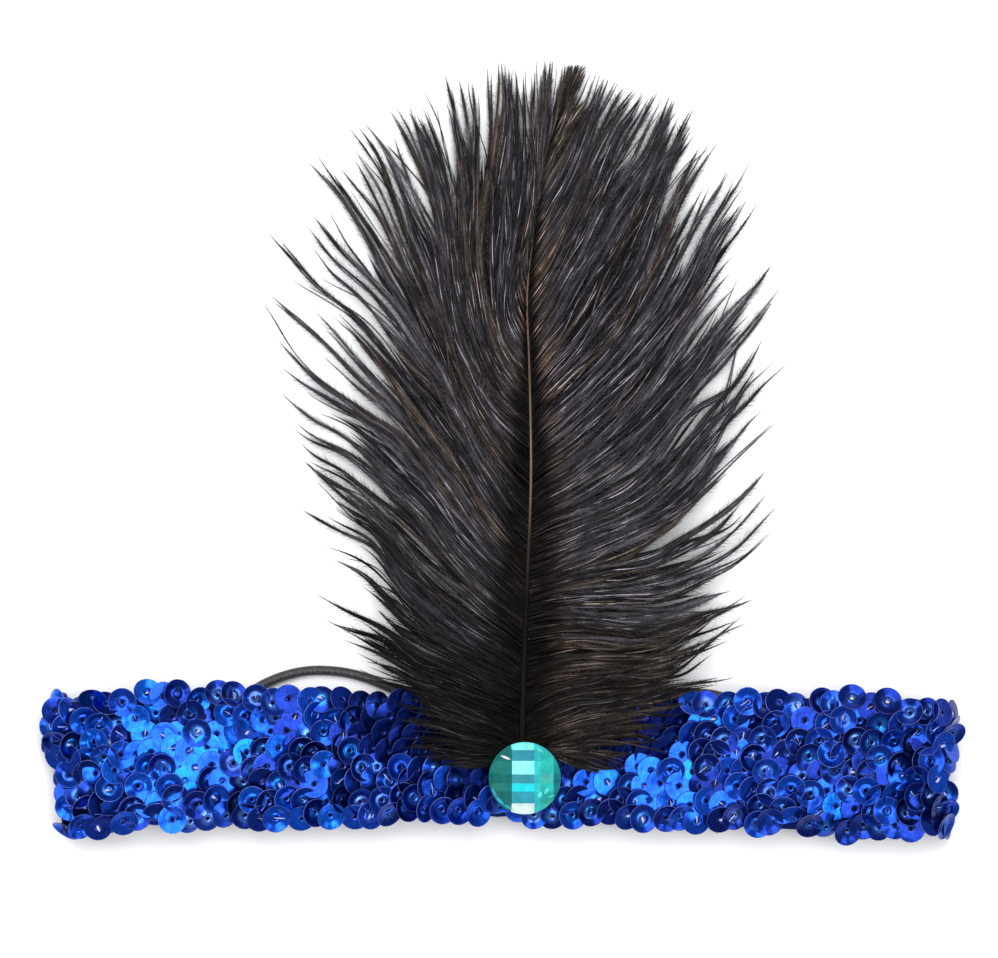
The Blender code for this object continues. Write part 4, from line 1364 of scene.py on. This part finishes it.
def length_shares(side, roots, strand, clump, layer):
    """How much of the guides' length each barb has."""
    share = layer.reach * (1.0 - by_group(clump, lambda n: np.abs(random.normal(0.0, CLUMP_LACK, n))))
    share = share * (1.0 - by_group(strand, lambda n: np.abs(random.normal(0.0, STRAND_LACK, n))))
    lack = read_rows(side.ragged, roots)[:, 1]
    share = share * (1.0 - lack * by_group(strand, random.random) ** 0.75)
    share = share * (1.0 + TOP_GROWTH * smooth_step(*GROWTH_FROM, roots))
    shorter = np.abs(random.normal(0.0, SINGLE_LACK, len(roots)))
    shorter = shorter * (1.0 + TIP_LACK * smooth_step(*TIP_FROM, roots))
    shorter[np.unique(strand, return_index=True)[1]] = 0.0
    share = share * (1.0 - np.minimum(shorter, MOST_LACK))
    if layer.high > PLUME_ROWS[-1].y:
        early = by_group(strand, random.random) < side.crowded * smooth_step(*CROWDED_FROM, roots)
        early = early & (roots < EARLY_BELOW)
        share = share * np.where(early, by_group(strand, lambda n: random.uniform(*EARLY_SHARES, n)), 1.0)
    return share


def curve_heights(flat, t, size, roots, strand, layer):
    """Heights of the curves' points over the floor, arched from the shaft to the rim."""
    count = len(roots)
    shaft = read_rows(PLUME_ROWS, roots)
    places = read_rows(PLUME_ROWS, flat[..., 1])
    heights = layer.level + by_group(strand, lambda n: random.uniform(*STRAND_LEVELS, n))
    heights = np.clip(heights + random.normal(0.0, SINGLE_LEVEL, count), *LEVEL_LIMITS)[:, None]
    heights = heights + 0.1 * np.sin(t * random.uniform(3, 9, (count, 1)) + random.uniform(0, 6, (count, 1)))
    base = places[..., 2] * (1 - t) + places[..., 3] * t
    arch = shaft[:, 4][:, None] * np.sin(np.pi * np.clip(t, 0.0, 1.0) ** 0.8) * np.sqrt(size)
    return np.maximum(base + arch * heights, LOWEST_BARB)


def barb_curves(side, roots, strand, clump, layer):
    """Curves of barbs on one side, from the shaft to the rim."""
    flat = guide_curves(side.guides, roots)
    length = np.linalg.norm(np.diff(flat, axis=1), axis=2).sum(axis=1)
    size = np.clip(length / FULL_SWING_LENGTH, *SWING_LIMITS)
    size = (size * (1.0 - CALMER * smooth_step(*CALMER_FROM, roots)))[:, None]
    t = np.linspace(0.0, 1.0, CURVE_STEPS)[None, :]
    flat = swung_curves(flat, size, t, strand, clump, layer)
    share = length_shares(side, roots, strand, clump, layer)
    flat = cut_curves(flat, share)
    z = curve_heights(flat, t * share[:, None], size, roots, strand, layer)
    return np.concatenate([flat, z[..., None]], axis=-1)


def barb_stations(length, step):
    """Shares of a barb's length, close together on its outer part where its barbules show singly."""
    inner = max(int(length * NEAR_SHARE / (STATION_NEAR * step)), FEWEST_NEAR)
    outer = max(int(length * (1 - NEAR_SHARE) / (STATION_FAR * step)), FEWEST_FAR)
    inner = np.linspace(0.0, NEAR_SHARE, inner, endpoint=False)
    outer = np.linspace(NEAR_SHARE, 1.0, outer)
    return np.concatenate([inner, outer])


def shine_along(distance):
    """How much painted sheen a barb shows at distances along it, from 0 to 1, as if it rolled in the light.
    """
    slow, fast = random.uniform(*SLOW_ROLLS), random.uniform(*FAST_ROLLS)
    roll = 0.65 * np.sin(distance * slow + random.uniform(0, 6.3))
    roll = roll + 0.5 * np.sin(distance * fast + random.uniform(0, 6.3))
    return smooth_step(-0.4, 0.45, roll)


def barb_hairs(count, edge, tangent, outwards, up, long):
    """Points of the barbules, slender triangles that lean along the barb and out of it."""
    hairs = [np.zeros((0, 3, 3))]
    for _ in range(count):
        place = random.random(len(edge) - 1)[:, None]
        base = edge[:-1] * (1 - place) + edge[1:] * place
        lean = np.radians(random.uniform(*BARBULE_ANGLES, len(base)))[:, None]
        direction = tangent[1:] * np.cos(lean) + outwards[1:] * np.sin(lean)
        droop = BARBULE_DROOP + random.normal(0, BARBULE_DROOP_SPREAD, len(base))
        direction = direction - up[1:] * droop[:, None]
        grown = (long * random.uniform(*BARBULE_SHARES, len(base)))[:, None]
        hairs.append(np.stack([base, base + tangent[1:] * HAIR_BASE, base + direction * grown], axis=1))
    return np.concatenate(hairs)


def barb_frame(ridge, distance, look):
    """Directions along a barb, beside it and out of it; it twists as it runs."""
    tangent = unit(np.gradient(ridge, axis=0))
    level = unit(np.cross(tangent, (0.0, 0.0, 1.0)))
    above = np.cross(level, tangent)
    angle = look.lean + look.twist * np.sin(distance * look.turns + look.phase)
    side = level * np.cos(angle)[:, None] + above * np.sin(angle)[:, None]
    up = above * np.cos(angle)[:, None] - level * np.sin(angle)[:, None]
    return tangent, side, up


def barb_section(distance, length, look, layer):
    """Five lines along a barb, by how far they lie beside its ridge and under it."""
    opening = smooth_step(0.0, layer.open, distance)
    left = length - distance
    closing = smooth_step(0.8, look.taper, left)
    slimmer = 1.0 - 0.4 * smooth_step(0.45 * length, 0.9 * length, distance)
    half = TIP_HALF + STEM_HALF * smooth_step(0.0, TIP_LENGTH, left)
    half = half + look.vane * layer.vane * (0.1 + 0.9 * opening) * closing * slimmer
    inner = np.minimum(RIDGE_HALF, 0.6 * half)
    drop = half * look.slope * opening
    return (half, inner, 0 * half, -inner, -half), (drop, 0.2 * drop, 0 * drop, 0.2 * drop, drop)


def barb_colours(look, shares, distances):
    """The sheen's shares, darkened with painted shade and warm beside the shaft."""
    clear = smooth_step(0.5 * look.zone, 1.55 * look.zone, distances)[:, None]
    cool = smooth_step(0.5 * look.warm, 1.6 * look.warm, distances)[:, None]
    colours = look.colour * (np.array(SHAFT_WARMTH) * (1 - cool) + cool)
    return colours * shares[:, None] * (SHAFT_SHADE + (1 - SHAFT_SHADE) * clear)


def barb_mesh(curve, look, layer):
    """Points, quads, triangles, tints and flow of one barb: a ridge with a painted highlight, a dark vane and
    frayed edges.
    """
    steps = np.linalg.norm(np.diff(curve, axis=0), axis=1)
    places = np.concatenate([[0.0], np.cumsum(steps)])
    length = places[-1]
    distance = barb_stations(length, layer.step) * length
    count = len(distance)
    middle = (distance[1:] + distance[:-1]) / 2
    ridge = np.stack([np.interp(distance, places, curve[:, i]) for i in range(3)], axis=1)
    tangent, side, up = barb_frame(ridge, distance, look)
    wides, lows = barb_section(distance, length, look, layer)
    lines = [ridge + side * wide[:, None] - up * low[:, None] for wide, low in zip(wides, lows)]
    long = look.barbule * layer.vane * smooth_step(2.0, layer.open + 1.0, middle)
    long = long * (0.1 + 0.9 * smooth_step(0.8, 0.9 * look.taper, length - middle))
    hairs = [
        barb_hairs(layer.hairs, lines[0], tangent, side, up, long),
        barb_hairs(layer.hairs, lines[-1], tangent, -side, up, long),
    ]
    points = np.concatenate([*lines, *[group.reshape(-1, 3) for group in hairs]])
    points[:, 2] = np.maximum(points[:, 2], BARB_CLEARANCE)
    i = np.arange(count - 1)
    starts = [line * count for line in range(len(lines))]
    quads = np.concatenate([
        np.stack([i + one, i + two, i + two + 1, i + one + 1], axis=1) for one, two in zip(starts, starts[1:])
    ])
    hair_count = 2 * layer.hairs * (count - 1)
    triangles = len(lines) * count + np.arange(3 * hair_count).reshape(-1, 3)

    # The ridge's painted highlight comes and goes along the barb and fades towards its tip; the vane's edges
    # are painted a little darker.
    faded = 1.0 - 0.45 * smooth_step(0.45 * length, 0.95 * length, distance)
    body = look.body * (0.8 + 0.4 * shine_along(distance))
    shine = np.maximum(look.light * shine_along(distance) * faded, body)
    hair_tints = np.repeat(look.body * random.uniform(*BARBULE_TINTS, hair_count), 3)
    shares = np.concatenate([0.8 * body, body, shine, body, 0.8 * body, hair_tints])
    hair_places = np.repeat(np.tile(middle, 2 * layer.hairs), 3)
    distances = np.concatenate([np.tile(distance, len(lines)), hair_places])
    across = np.concatenate([*wides, random.uniform(-1.0, 1.0, len(hair_places))])
    flow = np.stack([distances, across, np.full(len(across), look.phase)], axis=1)
    return points, quads, triangles, barb_colours(look, shares, distances), flow


def make_barbs(name, curves, looks, layer, material):
    """A piece of many barbs."""
    parts = []
    offset = 0
    for curve, look in zip(curves, looks):
        points, quads, triangles, tints, flow = barb_mesh(curve, look, layer)
        parts.append((points, quads + offset, triangles + offset, tints, flow))
        offset += len(points)
    points, quads, triangles, tints, flow = (np.concatenate([part[k] for part in parts]) for k in range(5))
    return make_object(name, points, [quads, triangles], material, tint=tints, flow=flow)


def barb_looks(roots, strand, layer, side):
    """How each barb is formed and tinted."""
    hue_pick = STRAND_HUE * by_group(strand, random.random) + (1.0 - STRAND_HUE) * random.random(len(roots))
    low_down = 1.0 - smooth_step(*BASE_HUE_TO, roots)
    brown = side.brown_above + (side.brown_below - side.brown_above) * low_down
    brown = brown + (1.0 - brown) * TIP_BROWN * smooth_step(*TIP_HUE_FROM, roots)
    zone = side.zone_above + (side.zone_below - side.zone_above) * (1.0 - smooth_step(*BASE_ZONE_TO, roots))
    shade = side.base_shade + (1.0 - side.base_shade) * smooth_step(*BASE_SHADE_TO, roots)
    warm = side.warm * (1.0 - TIP_COOLER * smooth_step(*WARM_TO, roots))
    lit = random.random(len(roots)) < layer.lit
    looks = []
    for i in range(len(roots)):
        grey_or_violet = VIOLET_SHEEN if hue_pick[i] < GREY_FROM else GREY_SHEEN
        hue = BROWN_SHEEN if hue_pick[i] < brown[i] else grey_or_violet
        looks.append(BarbLook(
            colour=np.array(hue) * layer.dimming * shade[i],
            body=random.uniform(*BODY_SHARES),
            light=random.uniform(*(LIT_SHARES if lit[i] else UNLIT_SHARES)),
            vane=random.uniform(*VANE_WIDTHS),
            taper=random.uniform(*TAPERS),
            slope=random.uniform(*SLOPES),
            barbule=random.uniform(*BARBULE_LENGTHS),
            lean=random.normal(0.0, LEAN_SPREAD),
            twist=random.uniform(*TWISTS),
            turns=random.uniform(*TWIST_TURNS),
            phase=random.uniform(0.0, 6.3),
            zone=zone[i] * random.uniform(*ZONE_SHARES),
            warm=warm[i],
        ))
    return looks


def barb_roots(side, layer):
    """Places of a layer's barbs on the shaft, closer together on most of its upper half."""
    known = np.array([guide.root_y for guide in side.guides])
    tips = np.array([guide.route[-1] for guide in side.guides])
    gaps = np.linalg.norm(np.diff(tips, axis=0), axis=1)
    middles = (known[1:] + known[:-1]) / 2
    denser = 1.0 + DENSER * smooth_step(*DENSER_FROM, middles) * (1.0 - smooth_step(*DENSER_TO, middles))
    gaps = layer.fan * gaps * np.ptp(known) / gaps.sum() + (1.0 - layer.fan) * np.diff(known)
    gaps = gaps * denser
    crowd = np.concatenate([[0.0], np.cumsum(gaps)])
    first, last = np.interp((layer.low, layer.high), known, crowd)
    count = round((last - first) / layer.pitch)
    places = np.linspace(first, last, count) + random.uniform(*ROOT_SHIFTS, count) * layer.pitch
    return np.sort(np.interp(places, crowd, known))


def make_plume():
    material = barb_material()
    for side in SIDES:
        for layer in LAYERS:
            roots = barb_roots(side, layer)
            strand = group_ids(len(roots), *STRAND_SIZES)
            clump = group_ids(strand.max() + 1, *CLUMP_SIZES)[strand]
            curves = barb_curves(side, roots, strand, clump, layer)
            looks = barb_looks(roots, strand, layer, side)
            for part, first, last in layer.parts:
                chosen = np.flatnonzero((roots >= first) & (roots < last))
                name = f"plume_{layer.name}_{side.name}{part}"
                piece = make_barbs(name, curves[chosen], [looks[i] for i in chosen], layer, material)
                if layer.name == "barbs":
                    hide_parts(f"feather_vane_{side.name}")
    quill = bpy.data.objects["feather_quill"]
    quill.data.materials.clear()
    quill.data.materials.append(quill_material())
    quill.data.shade_smooth()


# Stone


def stone_height(x, y, radius, crown):
    """The dome's height over its girdle; every cell of a grid on it is flat."""
    return crown * (1 - STONE_DROP_X * (x / radius) ** 2 - (y / radius) ** 2)


def stone_mesh(radius, crown):
    """The faceted stone, in millimetres from the middle of its back."""
    built = bmesh.new()
    angles = 2 * np.pi * np.arange(STONE_SIDES) / STONE_SIDES
    for angle in angles:
        built.verts.new((radius * math.cos(angle), radius * math.sin(angle), 0.0))
        built.verts.new((radius * math.cos(angle), radius * math.sin(angle), STONE_GIRDLE))
    for x in STONE_COLUMNS:
        for y in STONE_LINES:
            if math.hypot(x, y) < STONE_GRID_REACH * radius:
                built.verts.new((x, y, STONE_GIRDLE + stone_height(x, y, radius, crown)))
    hull = bmesh.ops.convex_hull(built, input=built.verts)
    bmesh.ops.delete(built, geom=hull["geom_interior"], context="VERTS")
    bmesh.ops.dissolve_limit(built, angle_limit=STONE_FLATNESS, verts=built.verts, edges=built.edges)
    bmesh.ops.recalc_face_normals(built, faces=built.faces)
    mesh = bpy.data.meshes.new("teal_stone")
    built.to_mesh(mesh)
    built.free()
    return mesh


def stone_tint(x, y, z):
    """The tint of the facet whose middle is here; on the dome it is a painted reflection."""
    if z < STONE_GIRDLE:
        return STONE_GIRDLE_TINT
    column = int(np.searchsorted(STONE_COLUMNS, x)) - 1
    line = int(np.searchsorted(STONE_LINES, y)) - 1
    if column == STONE_WIDEST:
        return STONE_LINE_PAINTED_LIGHT[line]
    lightness = STONE_EVEN_LINE if line % 2 == 0 else STONE_ODD_LINE
    return np.array(STONE_COLUMN_PAINTED_LIGHT[column]) * lightness


def make_stone():
    low, high = (np.array(corner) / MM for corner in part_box("faceted_stone"))
    centre, radius = (low + high)[:2] / 2, (high - low)[0] / 2
    mesh = stone_mesh(radius, high[2] - low[2] - STONE_GIRDLE)
    points = np.array([vertex.co for vertex in mesh.vertices])
    mesh.attributes.new("tint", "FLOAT_COLOR", "FACE")
    for polygon in mesh.polygons:
        tint = stone_tint(*points[list(polygon.vertices)].mean(axis=0))
        mesh.attributes["tint"].data[polygon.index].color = (*tint, 1.0)
    mesh.materials.append(stone_material())
    for vertex in mesh.vertices:
        x, y, z = vertex.co
        vertex.co = ((x + centre[0]) * MM, (y + centre[1]) * MM, (z + low[2]) * MM)
    stone = bpy.data.objects.new("teal_stone", mesh)
    bpy.context.scene.collection.objects.link(stone)
    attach(stone, "root")
    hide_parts("faceted_stone")


make_stage()
make_cord()
knit = knit_material()
make_tab("sewn_tab_left", "cord_tab_left", knit)
make_tab("sewn_tab_right", "cord_tab_right", knit)
make_knit(knit)
make_sequins(sequin_material(), thread_material())
random = np.random.default_rng(PLUME_SEED)
make_plume()
make_stone()
